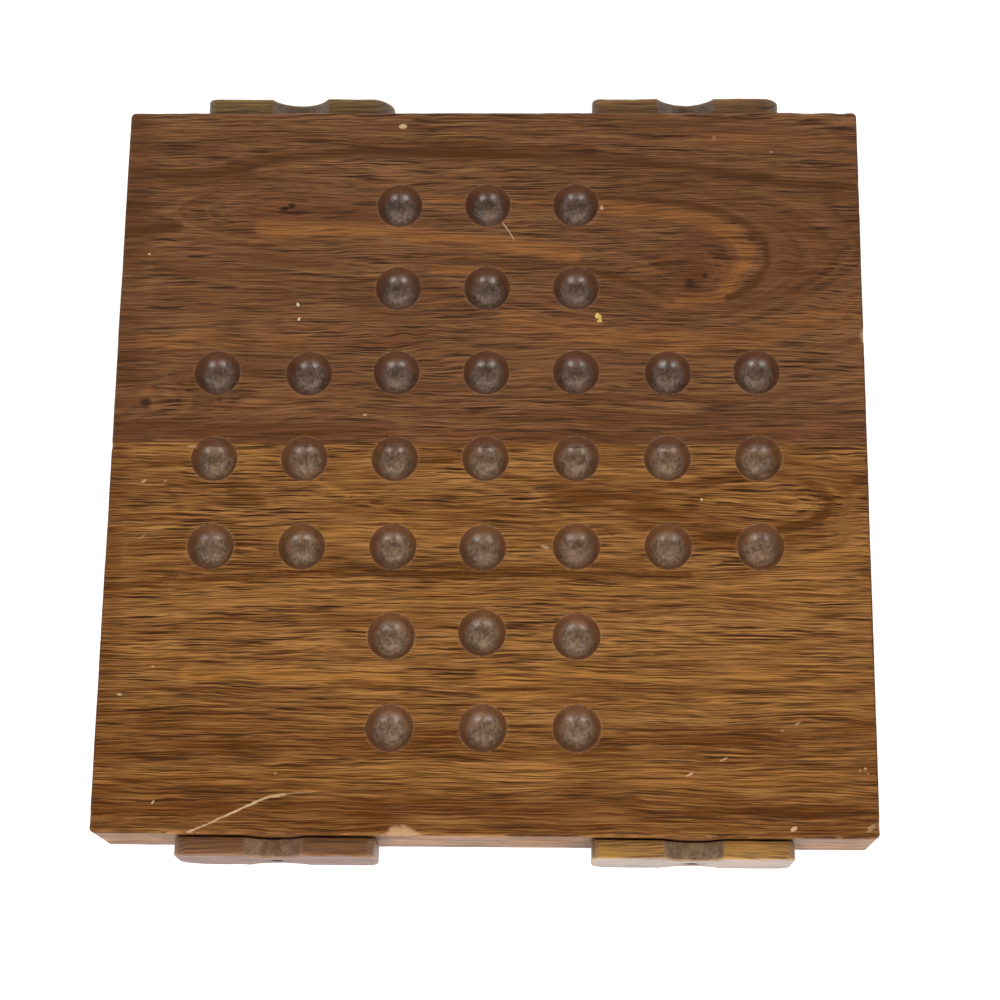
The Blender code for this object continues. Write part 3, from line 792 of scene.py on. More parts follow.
def buttonMesh(name, signX, signY, radii, seed):
    # loops carried round the bar's section: out of the pin hole, over the back, round the edge, over the face,
    # down into the head's recess and back through the hole, closed like a ring
    outerTop, innerTop, innerLow, outerLow = radii
    if signX * signY < 0:
        radii = (outerTop, innerTop, innerLow, outerLow)
    else:
        radii = (innerTop, outerTop, outerLow, innerLow)
    count = turnButton["around"]
    outline = buttonOutline(radii, count)
    tangent = np.roll(outline, -1, axis=0) - np.roll(outline, 1, axis=0)
    tangent /= np.linalg.norm(tangent, axis=1, keepdims=True)
    outward = np.stack([tangent[:, 1], -tangent[:, 0]], axis=1)
    angle = np.unwrap(np.arctan2(outline[:, 1], outline[:, 0]))
    # an even turn is mixed in, or points of the pin hole would fall together where a notch's shoulder turns back
    evenTurn = angle[0] + np.linspace(0, 2 * math.pi, count, endpoint=False)
    even = turnButton["evenShare"]
    angle = (1 - even) * np.maximum.accumulate(angle) + even * evenTurn
    circle = np.stack([np.cos(angle), np.sin(angle)], axis=1)
    wander = ripple(seed, 9, 30.0, 1.6, 2)
    rough = ripple(seed + 7, 8, 14.0, 2.0, 2)
    half = turnButton["thickness"] / 2
    edgeRound = turnButton["edgeRound"] * (1.15 + 0.45 * wander(outline[:, 0], outline[:, 1]))[:, None]
    edgeRound = np.clip(edgeRound, turnButton["edgeLeast"], turnButton["edgeMost"])

    def rim(inset, level):
        return np.column_stack([outline - outward * inset, np.broadcast_to(level, (count, 1))])

    def flat(share, radius, level):
        inner, outer = circle * radius, outline - outward * edgeRound
        place = inner + share * (outer - inner)
        return np.column_stack([place, np.full(count, level)])

    hole, recess, floor = turnButton["pinHole"], turnButton["headRecess"], half - turnButton["recessDepth"]
    loops = [flat(0, hole, -half)] + [flat(share, hole, -half) for share in (0.12, 0.35, 0.65, 0.9)]
    backRound = turnButton["backShare"] * edgeRound
    for turned in np.radians([0, 30, 60, 90]):
        loops.append(rim(backRound * (1 - math.sin(turned)), -half + backRound * (1 - math.cos(turned))))
    for share in (0.25, 0.5, 0.75):
        loops.append(rim(np.full((count, 1), 0.02), -half + edgeRound + share * 2 * (half - edgeRound)))
    for turned in np.radians([90, 60, 30, 0]):
        loops.append(rim(edgeRound * (1 - math.sin(turned)), half - edgeRound * (1 - math.cos(turned))))
    loops += [flat(share, recess + 0.12, half) for share in (0.9, 0.7, 0.5, 0.3, 0.12, 0.0)]
    loops.append(flat(0, recess, half - 0.12))
    loops.append(flat(0, recess, floor + 0.1))
    loops.append(flat(0, hole + 0.1, floor))
    loops.append(flat(0, hole, floor - 0.1))
    rings = np.array(loops)
    local = rings.reshape(-1, 3).copy()
    dent = rough(local[:, 0], local[:, 1] * 2)
    nearEdge = np.clip(np.abs(local[:, 2]) / half, 0, 1)
    dentIn, dentWander = turnButton["faceDents"]
    local[:, 2] -= np.sign(local[:, 2]) * (dentIn + dentWander * dent) * (nearEdge > 0.8)
    index = np.arange(len(local)).reshape(len(rings), count)
    faces = np.concatenate([bandFaces(index[k - 1], index[k]) for k in range(len(rings))])[:, ::-1]
    mesh = meshFrom(name, onEdge(local, signX, signY, turnButton["middleY"]), faces.tolist())
    # grain runs along the bar, its rings tilted by the way it was sawn
    ripples = ripple(seed + 3, 8, 60.0, 6.0, 2)
    fibre = local[:, 1] + 0.5 * ripples(local[:, 0] * 0.5, local[:, 1] * 2)
    setAttribute(mesh, "grainFlow", np.stack([local[:, 0] + 300 + seed * 90, fibre, local[:, 2]], axis=1))
    setAttribute(mesh, "ringNumber", seed * 13 + 0.8 * fibre + 1.3 * local[:, 2] + 0.04 * local[:, 0])
    band = ripple(seed + 5, 6, 16.0, 4.0, 1)(fibre)
    tones = np.stack([np.clip(band, 0, 1) * 0.7, np.clip(-band, 0, 1) * 0.6, np.full(len(local), 0.15)], axis=1)
    setAttribute(mesh, "grainTone", tones)
    return mesh


def wearOfButton(mesh, count):
    # wear: how much the surface is cut across the grain (the bites, the ends, the recess), how far each loop of the
    # section lies from its nearest edge in mm, and the recess alone
    distance = np.array(
        [3, 3, 3, 3, 1.2, 0.5, 0.1, 0.1, 0.3, 1.2, 2.0, 1.2, 0.3, 0.1, 0.1, 0.5, 1.2, 3, 3, 3, 3, 2, 2, 2, 2, 2]
    )
    edge = np.repeat(distance, count)
    loops = np.repeat(np.arange(len(distance)), count)
    x, y, z = pointsOf(mesh)
    fromMiddle = np.abs(np.abs(x) - turnButton["centreX"])
    half, halfNotch = turnButton["length"] / 2, turnButton["notchWidth"] / 2
    bite = smoothStep(halfNotch + 0.1, halfNotch - 0.2, fromMiddle)
    end = smoothStep(half - 2.6, half - 0.4, fromMiddle)
    onRim = (loops >= 6) & (loops <= 14)
    # the recess mask carries the painted shade in the pin head's recess
    recess = loops >= 21
    cut = np.where(onRim, np.maximum(bite, 0.8 * end), 0)
    setAttribute(mesh, "wear", np.stack([cut, edge, recess.astype(float)], axis=1))


buttonPieces = []
for number, (place, (signX, signY, radii)) in enumerate(buttonPlaces.items()):
    mesh = buttonMesh("turnButton" + place, signX, signY, radii, 3 + number)
    wearOfButton(mesh, turnButton["around"])
    finishMesh(mesh, 50)
    node = cornerNode("button", signX, signY)
    buttonPieces.append(addPiece("turnButton" + place, mesh, node, node))
print("turn buttons shaped")

# The pins that the bars turn on
pin = {
    "length": 25.4,
    "shank": 0.8,  # radius
    "head": 1.3,  # radius
    "headHeight": 0.8,
    "headY": 110.6,  # the head's top
    "point": 2.8,
    "around": 40,
}


def pinMesh(name, signX, signY, seed):
    # a profile turned about the pin's axis: domed head with a filed rim, a plain shank, point
    reach, head, top = pin["length"], pin["head"], 0.0
    profile = np.array([
        (0.0, top), (0.35 * head, top - 0.01), (0.7 * head, top - 0.06), (0.9 * head, top - 0.13),
        (head, top - 0.26), (head, top - 0.55), (0.94 * head, top - pin["headHeight"]),
        (1.12 * pin["shank"], top - pin["headHeight"] - 0.12), (pin["shank"], top - pin["headHeight"] - 0.5),
        (pin["shank"], top - 8.0), (pin["shank"], top - reach + pin["point"]),
        (0.4 * pin["shank"], top - reach + 0.9), (0.0, top - reach),
    ])
    around = pin["around"]
    angle = np.arange(around) / around * 2 * math.pi
    dents = ripple(seed, 6, 1.4, 0.4, 2)
    radius, level = profile[1:-1, 0][:, None], profile[1:-1, 1][:, None]
    ringX = radius * np.cos(angle)
    ringY = radius * np.sin(angle)
    ringZ = level + 0.02 * dents(ringX, ringY) * (level > -0.3)
    local = np.concatenate([[[0, 0, profile[0, 1]]], np.stack([ringX, ringY, ringZ], axis=-1).reshape(-1, 3),
                            [[0, 0, profile[-1, 1]]]])
    rows = len(profile) - 2
    index = 1 + np.arange(rows * around).reshape(rows, around)
    quads = np.concatenate([bandFaces(index[k], index[k + 1]) for k in range(rows - 1)])
    last = len(local) - 1
    topFan = np.stack([np.zeros(around, int), index[0], np.roll(index[0], -1)], axis=1)
    tipFan = np.stack([np.full(around, last), np.roll(index[-1], -1), index[-1]], axis=1)
    faces = quads.tolist() + topFan.tolist() + tipFan.tolist()
    return meshFrom(name, onEdge(local, signX, signY, pin["headY"]), faces)


pinPieces = []
for number, (place, (signX, signY, _)) in enumerate(buttonPlaces.items()):
    mesh = pinMesh("panelPin" + place, signX, signY, 90 + number)
    finishMesh(mesh, 40)
    node = cornerNode("pin", signX, signY)
    pinPieces.append(addPiece("panelPin" + place, mesh, "board", node))
print("pins shaped")


def fill(tree, node, values):
    # a node's inputs, each as a plain value or a link
    for socket, value in values.items():
        if isinstance(value, bpy.types.NodeSocket):
            tree.links.new(value, node.inputs[socket])
        else:
            node.inputs[socket].default_value = value
    return node


def put(tree, kind, values=None, **settings):
    # one new node with its settings and inputs
    node = tree.nodes.new("ShaderNode" + kind)
    for name, value in settings.items():
        setattr(node, name, value)
    return fill(tree, node, values or {})


def mathNode(operation):
    # a builder of one kind of Math node
    def build(tree, first, second, clamp=False):
        return put(tree, "Math", {0: first, 1: second}, operation=operation, use_clamp=clamp).outputs[0]

    return build


plus, minus, times, over = map(mathNode, ("ADD", "SUBTRACT", "MULTIPLY", "DIVIDE"))
larger, smaller = mathNode("MAXIMUM"), mathNode("MINIMUM")


def stretched(tree, vector, scale, offset=(0, 0, 0)):
    return put(tree, "Mapping", {"Vector": vector, "Location": offset, "Scale": scale}).outputs[0]


def noise(tree, vector, detail=2.0, roughness=0.5, dimensions="3D"):
    values = {"Vector": vector, "Scale": 1.0, "Detail": detail, "Roughness": roughness}
    return put(tree, "TexNoise", values, noise_dimensions=dimensions).outputs[0]


def step(tree, value, low, high, toLow=0.0, toHigh=1.0):
    values = {"Value": value, "From Min": low, "From Max": high, "To Min": toLow, "To Max": toHigh}
    return put(tree, "MapRange", values, interpolation_type="SMOOTHSTEP").outputs[0]


def mixed(tree, share, first, second):
    return put(tree, "Mix", {0: share, 6: first, 7: second}, data_type="RGBA").outputs[2]


def blended(tree, share, first, second):
    return put(tree, "Mix", {0: share, 2: first, 3: second}, data_type="FLOAT").outputs[0]


def attribute(tree, name, output):
    return put(tree, "Attribute", attribute_name=name).outputs[output]


def parts(tree, vector):
    return put(tree, "SeparateXYZ", {0: vector}).outputs


def newGroup(name, inputs, outputs):
    # a shader node group with named sockets: its tree, what it is given, and the node for what it makes
    tree = bpy.data.node_groups.new(name, "ShaderNodeTree")
    for direction, sockets in (("INPUT", inputs), ("OUTPUT", outputs)):
        for label, kind, *value in sockets:
            socket = tree.interface.new_socket(label, in_out=direction, socket_type="NodeSocket" + kind)
            if value:
                socket.default_value = value[0]
    return tree, tree.nodes.new("NodeGroupInput").outputs, tree.nodes.new("NodeGroupOutput")


def useGroup(tree, group, **values):
    return put(tree, "Group", values, node_tree=group).outputs


def newMaterial(name):
    material = bpy.data.materials.new(name)
    material.use_nodes = True
    tree = material.node_tree
    return material, tree, tree.nodes["Principled BSDF"]


def sockets(look, *labels):
    # a look's values, all or the listed ones, under the names of a group's sockets
    return {label[0].upper() + label[1:]: look[label] for label in labels or look}


# The figure's fields: noise scale along and across per mm, offset, detail, roughness
grainFields = {
    "slowDrift": ((0.02, 0.11, 1), (0, 0, 0), 1, 0.5),
    "quickDrift": ((0.09, 0.5, 1), (7, 3, 0), 1, 0.5),
    "broad": ((0.006, 0.17, 1), (0, 0, 0), 1, 0.5),
    "bands": ((0.016, 0.75, 1), (3, 0, 0), 2, 0.6),
    "streaks": ((0.025, 1.5, 1), (0, 5, 0), 2, 0.65),
    "threads": ((0.05, 3.6, 1), (2, 8, 0), 2, 0.65),
    "poreGate": ((0.02, 0.5, 1), (5, 5, 0), 1, 0.5),
}
# How strongly a field shows, and how far it may lighten: the finer, the less, for dark lines on a lighter ground
fieldShares = {"broad": (0.28, 0.5), "bands": (0.24, 0.3), "streaks": (0.58, 0.16), "threads": (1.25, 0.12)}
figure = {
    "slowBend": 2.4,  # mm that the drifts push the fibres aside
    "quickBend": 0.32,
    "ringBend": 0.9,  # rings that the quick drift pushes aside
    "darken": 0.4,  # how far the brushed-in tones move the value
    "gild": 0.12,
    "redden": 0.6,
    "brownFrom": (0.12, 0.55),
    "tanFrom": (0.48, 0.9),
    "goldFrom": (0.35, 0.85, 0.0, 0.8),
    "toneFill": 0.6,  # how far dark and golden places fill the pores
    "threadHeight": 0.35,
    "poreHeight": 0.65,
}
# Pores are stretched cells: scale along and across per mm, offset, fading edge, and the rings that crowd them
longPore = {"scale": (0.04, 1.2, 1), "offset": (0, 0, 0), "fade": (0.34, 0.17), "gate": (0.4, 0.58, 0.2, 1)}
shortPore = {"scale": (0.11, 2.5, 1), "offset": (4, 2, 0), "fade": (0.36, 0.12), "gate": (0.3, 0.55, 0.35, 1)}
shortPoreShare = 0.8
poreRagged = 0.6


def grainField(tree, place, name):
    scale, offset, detail, roughness = grainFields[name]
    return noise(tree, stretched(tree, place, scale, offset), detail, roughness, "2D")


def poreCells(tree, place):
    return put(tree, "TexVoronoi", {"Vector": place, "Scale": 1.0}, voronoi_dimensions="2D").outputs[0]


def swayed(tree, value, drift, reach):
    # a value pushed to and fro by a field that runs from 0 to 1
    return plus(tree, value, times(tree, minus(tree, drift, 0.5), reach))


def walnutGrainGroup():
    # walnut figure from the wood's own places: broad bands by ring number, streaks and fibres along the flow,
    # short dark pores, and the brushed-in tones
    colours = [(label, "Color") for label in ("Deep", "Brown", "Tan", "Golden", "Red", "Pore")]
    inputs = [
        ("Flow", "Vector"), ("Rings", "Float"), ("Tones", "Vector"), *colours,
        ("PoreStrength", "Float", 0.7), ("Contrast", "Float", 1.0), ("Level", "Float", 0.5),
    ]
    outputs = [("Color", "Color"), ("Pores", "Float"), ("Height", "Float")]
    tree, given, made = newGroup("walnutGrain", inputs, outputs)
    along, across, down = parts(tree, given["Flow"])
    lane = plus(tree, across, down)
    lanePlace = put(tree, "CombineXYZ", {0: along, 1: lane}).outputs[0]
    slowDrift = grainField(tree, lanePlace, "slowDrift")
    quickDrift = grainField(tree, lanePlace, "quickDrift")
    bent = swayed(tree, lane, slowDrift, figure["slowBend"])
    bent = swayed(tree, bent, quickDrift, figure["quickBend"])
    fibre = put(tree, "CombineXYZ", {0: along, 1: bent}).outputs[0]
    ringBent = swayed(tree, given["Rings"], quickDrift, figure["ringBend"])
    ringPlace = put(tree, "CombineXYZ", {0: along, 1: ringBent}).outputs[0]
    places = {"broad": ringPlace, "bands": ringPlace, "streaks": fibre, "threads": fibre}
    fields = {name: grainField(tree, place, name) for name, place in places.items()}
    value = given["Level"]
    for name, (share, most) in fieldShares.items():
        part = times(tree, smaller(tree, minus(tree, fields[name], 0.5), most), share)
        value = plus(tree, times(tree, part, given["Contrast"]), value)
    toneDark, toneGold, toneRed = parts(tree, given["Tones"])
    value = minus(tree, value, times(tree, toneDark, figure["darken"]))
    value = plus(tree, value, times(tree, toneGold, figure["gild"]))
    brown = mixed(tree, step(tree, value, *figure["brownFrom"]), given["Deep"], given["Brown"])
    wood = mixed(tree, step(tree, value, *figure["tanFrom"]), brown, given["Tan"])
    golden = times(tree, toneGold, step(tree, value, *figure["goldFrom"]), True)
    wood = mixed(tree, golden, wood, given["Golden"])
    wood = mixed(tree, times(tree, toneRed, figure["redden"]), wood, given["Red"])
    # pores: dark near the cells' centres, crowded on some rings, filled where the tones are strong
    poreGate = grainField(tree, ringPlace, "poreGate")
    longPlace = stretched(tree, fibre, longPore["scale"], longPore["offset"])
    shortPlace = stretched(tree, fibre, shortPore["scale"], shortPore["offset"])
    longCells, shortCells = poreCells(tree, longPlace), poreCells(tree, shortPlace)
    ragged = times(tree, minus(tree, fields["threads"], 0.5), poreRagged)
    longPores = step(tree, plus(tree, longCells, ragged), *longPore["fade"])
    longPores = times(tree, longPores, step(tree, poreGate, *longPore["gate"]))
    shortPores = step(tree, plus(tree, shortCells, ragged), *shortPore["fade"])
    shortPores = times(tree, shortPores, step(tree, poreGate, *shortPore["gate"]))
    pores = larger(tree, longPores, times(tree, shortPores, shortPoreShare))
    filled = plus(tree, times(tree, toneGold, figure["toneFill"]), times(tree, toneDark, figure["toneFill"]), True)
    pores = times(tree, pores, minus(tree, 1.0, filled))
    wood = mixed(tree, times(tree, pores, given["PoreStrength"]), wood, given["Pore"])
    threadHeight = times(tree, fields["threads"], figure["threadHeight"])
    height = minus(tree, threadHeight, times(tree, pores, figure["poreHeight"]))
    fill(tree, made, {"Color": wood, "Pores": pores, "Height": height})
    return tree


# Cut, worn and handled wood: noise scales per metre, and the noise values that each change comes in between
cutWood = {
    "mottleScale": (1100, 800, 900),
    "patchScale": (260, 210, 210),
    "mottleShare": 0.6,
    "greyFrom": (0.38, 0.64),
    "redFrom": (0.5, 0.7, 0.0, 0.7),
    "ringScale": (0.9, 0.6, 1),
    "brownFrom": (0.35, 0.62),
    "poreFrom": (0.56, 0.68, 0.0, 0.7),
}
rubbing = {"scale": (260, 260, 260), "start": 0.42, "ragged": 0.9, "from": (0.45, 0.8)}
smudges = {"scale": (26, 26, 26), "from": (0.4, 0.75)}


def boredWoodGroup():
    # the cut inside of a hollow: mottled end grain and burnished smears
    inputs = [("Place", "Vector"), ("Dark", "Color"), ("Grey", "Color"), ("Red", "Color")]
    outputs = [("Color", "Color"), ("Height", "Float"), ("Sheen", "Float")]
    tree, given, made = newGroup("boredWood", inputs, outputs)
    mottle = noise(tree, stretched(tree, given["Place"], cutWood["mottleScale"]), 2, 0.65)
    patches = noise(tree, stretched(tree, given["Place"], cutWood["patchScale"], (3, 1, 2)), 1)
    share = cutWood["mottleShare"]
    value = plus(tree, times(tree, mottle, share), times(tree, patches, 1 - share))
    colour = mixed(tree, step(tree, value, *cutWood["greyFrom"]), given["Dark"], given["Grey"])
    colour = mixed(tree, step(tree, patches, *cutWood["redFrom"]), colour, given["Red"])
    fill(tree, made, {"Color": colour, "Height": mottle, "Sheen": patches})
    return tree


def endGrainGroup():
    # wood cut across: growth rings side by side and open pores as dark dots
    inputs = [("Rings", "Float"), ("Mottle", "Float"), ("Deep", "Color"), ("Brown", "Color"), ("Pore", "Color")]
    tree, given, made = newGroup("endGrain", inputs, [("Color", "Color")])
    ringPlace = put(tree, "CombineXYZ", {0: given["Rings"], 1: given["Mottle"]}).outputs[0]
    rings = noise(tree, stretched(tree, ringPlace, cutWood["ringScale"]), 2, 0.6, "2D")
    colour = mixed(tree, step(tree, rings, *cutWood["brownFrom"]), given["Deep"], given["Brown"])
    colour = mixed(tree, step(tree, given["Mottle"], *cutWood["poreFrom"]), colour, given["Pore"])
    fill(tree, made, {"Color": colour})
    return tree


def edgeWearGroup():
    # rubbed edges: strongest on the edge itself, broken up by noise
    inputs = [("Place", "Vector"), ("Distance", "Float"), ("Reach", "Float", 0.9), ("Amount", "Float", 0.5)]
    tree, given, made = newGroup("edgeWear", inputs, [("Mask", "Float")])
    ragged = noise(tree, stretched(tree, given["Place"], rubbing["scale"]), 2, 0.65)
    near = over(tree, given["Distance"], given["Reach"])
    worn = minus(tree, plus(tree, rubbing["start"], times(tree, ragged, rubbing["ragged"])), near)
    worn = step(tree, worn, *rubbing["from"])
    fill(tree, made, {"Mask": times(tree, worn, given["Amount"])})
    return tree


def handledGroup():
    # faint smudges where hands have dulled the finish
    tree, given, made = newGroup("handled", [("Place", "Vector")], [("Smudge", "Float")])
    smudge = noise(tree, stretched(tree, given["Place"], smudges["scale"]), 2, 0.6)
    fill(tree, made, {"Smudge": step(tree, smudge, *smudges["from"])})
    return tree


walnutGrain, boredWood, edgeWear, handled = walnutGrainGroup(), boredWoodGroup(), edgeWearGroup(), handledGroup()
endGrain = endGrainGroup()

# Marks on the top: kind, x, y, half length, half width in mm, angle in degrees, strength
topMarks = [
    ("cream", -26, 101.0, 1.3, 0.75, 0, 1.0),
    ("white", -54.8, 45.6, 0.4, 0.55, 20, 0.85),
    ("white", -54.4, 41.2, 0.36, 0.6, -10, 0.85),
    ("yellow", 30.7, 42.4, 0.7, 0.8, 0, 0.9),
    ("yellow", 31.5, 42.0, 0.5, 0.8, 0, 0.7),
    ("yellow", 31.3, 40.9, 0.7, 0.6, 10, 0.8),
    ("cream", 32.0, 75.4, 0.55, 0.8, 0, 0.6),
    ("cream", -98.3, 61, 0.35, 0.35, 0, 0.9),
    ("cream", -34.8, 12.6, 0.55, 0.4, 0, 0.7),
    ("cream", 59.6, -11.7, 0.42, 0.42, 0, 0.9),
    ("cream", -99.8, -67.6, 0.6, 0.35, 0, 0.8),
    ("cream", -96.2, -7.0, 0.9, 0.4, 30, 0.6),
    ("cream", -90.2, -7.0, 0.4, 0.35, 0, 0.5),
    ("cream", -91, -59.8, 0.5, 0.25, 0, 0.6),
    ("cream", -89, -97, 0.35, 0.6, -25, 0.7),
    ("cream", -56.2, -89.0, 0.4, 0.25, 0, 0.5),
    ("cream", 83, -103, 1.0, 0.6, 25, 0.85),
    ("cream", 102.6, -86.6, 0.35, 0.3, 0, 0.7),
    ("cream", 101.2, -87.2, 0.3, 0.25, 0, 0.7),
    ("cream", 103.2, -88.0, 0.3, 0.25, 0, 0.5),
    ("cream", 16.2, -25.6, 1.3, 0.6, -20, 0.4),
    ("cream", 103.6, -102.6, 1.5, 0.7, 40, 0.35),
    ("cream", 55.4, -88.6, 1.1, 0.3, 28, 0.8),
    ("cream", 64.6, -84.4, 1.3, 0.25, 25, 0.6),
    ("cream", 84.6, -74.6, 1.0, 0.25, 30, 0.5),
    ("cream", 80.6, -76.4, 0.7, 0.22, 10, 0.5),
    ("cream", 64.5, 97.4, 0.7, 0.4, 60, 0.25),
    ("cream", 81, 92.8, 0.5, 0.3, 0, 0.4),
    ("cream", -83, 3.2, 2.0, 0.45, 0, 0.35),
    ("cream", -96, -23.2, 1.2, 0.25, 25, 0.3),
    ("black", -59.6, 75.0, 1.5, 0.9, 15, 0.95),
    ("black", -57.6, 75.9, 1.2, 1.0, -20, 0.9),
    ("black", 57.2, 52.0, 1.8, 1.9, 10, 0.75),
    ("black", 59.0, 51.4, 1.5, 1.2, 20, 0.5),
    ("black", 61.4, 54.6, 1.0, 1.0, 0, 0.7),
    ("black", -97.0, 16.0, 1.9, 1.7, -10, 0.75),
    ("rust", -96.4, 19.8, 1.9, 1.3, 0, 0.4),
]
# Scratches: kind, half width, strength, and the places they run through
scratches = [
    ("cream", 0.24, 0.75, [(-79.2, -105), (-74, -102.8), (-68.5, -100.2)]),
    ("cream", 0.34, 0.85, [(-69.5, -100.7), (-64.5, -98.3), (-60.5, -96.5)]),
    ("cream", 0.38, 0.7, [(-62, -97), (-57.5, -95.3), (-53.5, -94.7)]),
    ("cream", 0.16, 0.4, [(-56, -95.2), (-51, -94.2), (-46, -94)]),
    ("cream", 0.14, 0.5, [(28, 105.5), (38, 105.6), (46, 105.3)]),
    ("cream", 0.2, 0.6, [(50, 105.4), (58, 105.3), (64, 105.6)]),
    ("cream", 0.14, 0.5, [(84, 105.6), (94, 105.4), (104, 105.5)]),
    ("cream", 0.18, 0.75, [(3.6, 70.6), (5.2, 68.2), (6.7, 65.8)]),
]
for kind, halfWidth, strength, line in scratches:
    for (startX, startY), (endX, endY) in zip(line[:-1], line[1:]):
        middle, along = ((startX + endX) / 2, (startY + endY) / 2), (endX - startX, endY - startY)
        half, angle = 0.62 * math.hypot(*along) + 0.3, math.degrees(math.atan2(along[1], along[0]))
        topMarks.append((kind, *middle, half, halfWidth, angle, strength))
markColours = {
    "cream": srgb(180, 149, 114),
    "white": srgb(204, 184, 150),
    "yellow": srgb(206, 172, 92),
    "black": srgb(34, 20, 14),
    "rust": srgb(124, 66, 30),
}


markEdges = {
    "shakeScale": 900.0,  # per metre
    "shake": 0.0004,  # metres, at most
    "spread": 1.3,  # a mark fades before its ellipse ends
    "crisp": (0.12, 0.42),
    "soft": (0.0, 0.75),
    "softKinds": ("black", "rust"),
}


def paintMarks(tree, place, colour, rear):
    # each mark is an ellipse: the place moved, turned and divided by its half sizes, and inside under a length of 1;
    # a fine noise shakes the places first, so that the outlines are ragged
    shake = markEdges["shake"]
    ragged = put(tree, "TexNoise", {"Vector": place, "Scale": markEdges["shakeScale"], "Detail": 0.0}).outputs[1]
    centred = {"Location": (-shake / 2, -shake / 2, 0), "Scale": (shake, shake, 0)}
    shaken = put(tree, "Mapping", {"Vector": ragged, **centred})
    shaken = put(tree, "VectorMath", {0: place, 1: shaken.outputs[0]}, operation="ADD").outputs[0]
    masks = {}
    for kind, x, y, halfLength, halfWidth, angle, strength in topMarks:
        if (y > board["glueLine"]) != rear:
            continue
        turned = put(tree, "Mapping", {
            "Vector": shaken,
            "Location": (x * mm, y * mm, board["top"] * mm),
            "Rotation": (0, 0, math.radians(angle)),
            "Scale": (markEdges["spread"] * halfLength * mm, markEdges["spread"] * halfWidth * mm, 2 * mm),
        }, vector_type="TEXTURE").outputs[0]
        inward = put(tree, "TexGradient", {"Vector": turned}, gradient_type="SPHERICAL").outputs[1]
        edge = markEdges["soft" if kind in markEdges["softKinds"] else "crisp"]
        mask = step(tree, inward, *edge, 0.0, strength)
        masks[kind] = larger(tree, masks[kind], mask) if kind in masks else mask
    for kind, mask in masks.items():
        colour = mixed(tree, mask, colour, markColours[kind])
    return colour, masks["cream"]


# The looks of the two planks and of the dimples in each
rearWalnut = {
    "deep": srgb(74, 42, 17), "brown": srgb(99, 63, 37), "tan": srgb(126, 87, 53), "golden": srgb(140, 88, 42),
    "red": srgb(88, 46, 24), "pore": srgb(44, 23, 9), "poreStrength": 0.9, "contrast": 1.25, "level": 0.56,
}
frontWalnut = {
    "deep": srgb(72, 38, 6), "brown": srgb(112, 72, 34), "tan": srgb(150, 105, 57), "golden": srgb(152, 102, 43),
    "red": srgb(94, 53, 24), "pore": srgb(44, 20, 3), "poreStrength": 1.0, "contrast": 1.4, "level": 0.555,
}
rearHollows = {
    # the last colour on the next line is painted shade for the steep wall near the rim
    "dark": srgb(84, 60, 46), "grey": srgb(140, 116, 98), "red": srgb(108, 68, 48), "wall": srgb(76, 43, 22),
    # the next colour is painted light for the bowls' bottoms
    "dust": srgb(206, 172, 146), "roughness": 0.4, "gloss": 0.6,
}
frontHollows = {
    # the last colour on the next line is painted shade for the steep wall near the rim
    "dark": srgb(104, 76, 54), "grey": srgb(164, 134, 106), "red": srgb(132, 84, 56), "wall": srgb(84, 49, 24),
    # the next colour is painted light for the bowls' bottoms
    "dust": srgb(234, 196, 158), "roughness": 0.45, "gloss": 0.45,
}
surfaceFinish = {
    "specular": 0.1,
    "roughness": 0.42,
    "poreRoughness": 0.2,
    "coatRoughness": 0.3,
    "lessWhereClean": 0.06,  # of the roughness
    "smudged": 0.1,  # more roughness, at most
    "scuffed": 0.35,
    "bumpStrength": 0.6,
    "bump": 0.00008,  # metres
    "fresh": srgb(150, 116, 84),  # newly broken wood
    "wear": {"Reach": 0.7, "Amount": 0.35},
}
# The dimples' look by the distance from their axis, in mm, as the start and end of each step
hollowReach = {
    "inside": (6.7, 6.45),
    # the next two lay a paler ring round each rim: painted highlight
    "haloFrom": (6.4, 6.65),
    "haloTo": (7.3, 6.8),
    # the next step darkens the steep wall towards the rim: painted shade
    "wall": (4.4, 6.4, 0.0, 0.9),
    # the next step and its patches below lighten the bowl's bottom: painted light
    "dust": (4.2, 0.6),
    "ragged": 1.4,
    "haloPatches": (0.35, 0.7, 0.0, 0.35),  # by the mottle
    "dustPatches": (0.4, 0.6, 0.45, 0.95),
    "sheenPatches": (0.3, 0.7),
    "roughSpread": (0.06, 0.08),  # below and above the dimples' own roughness
}


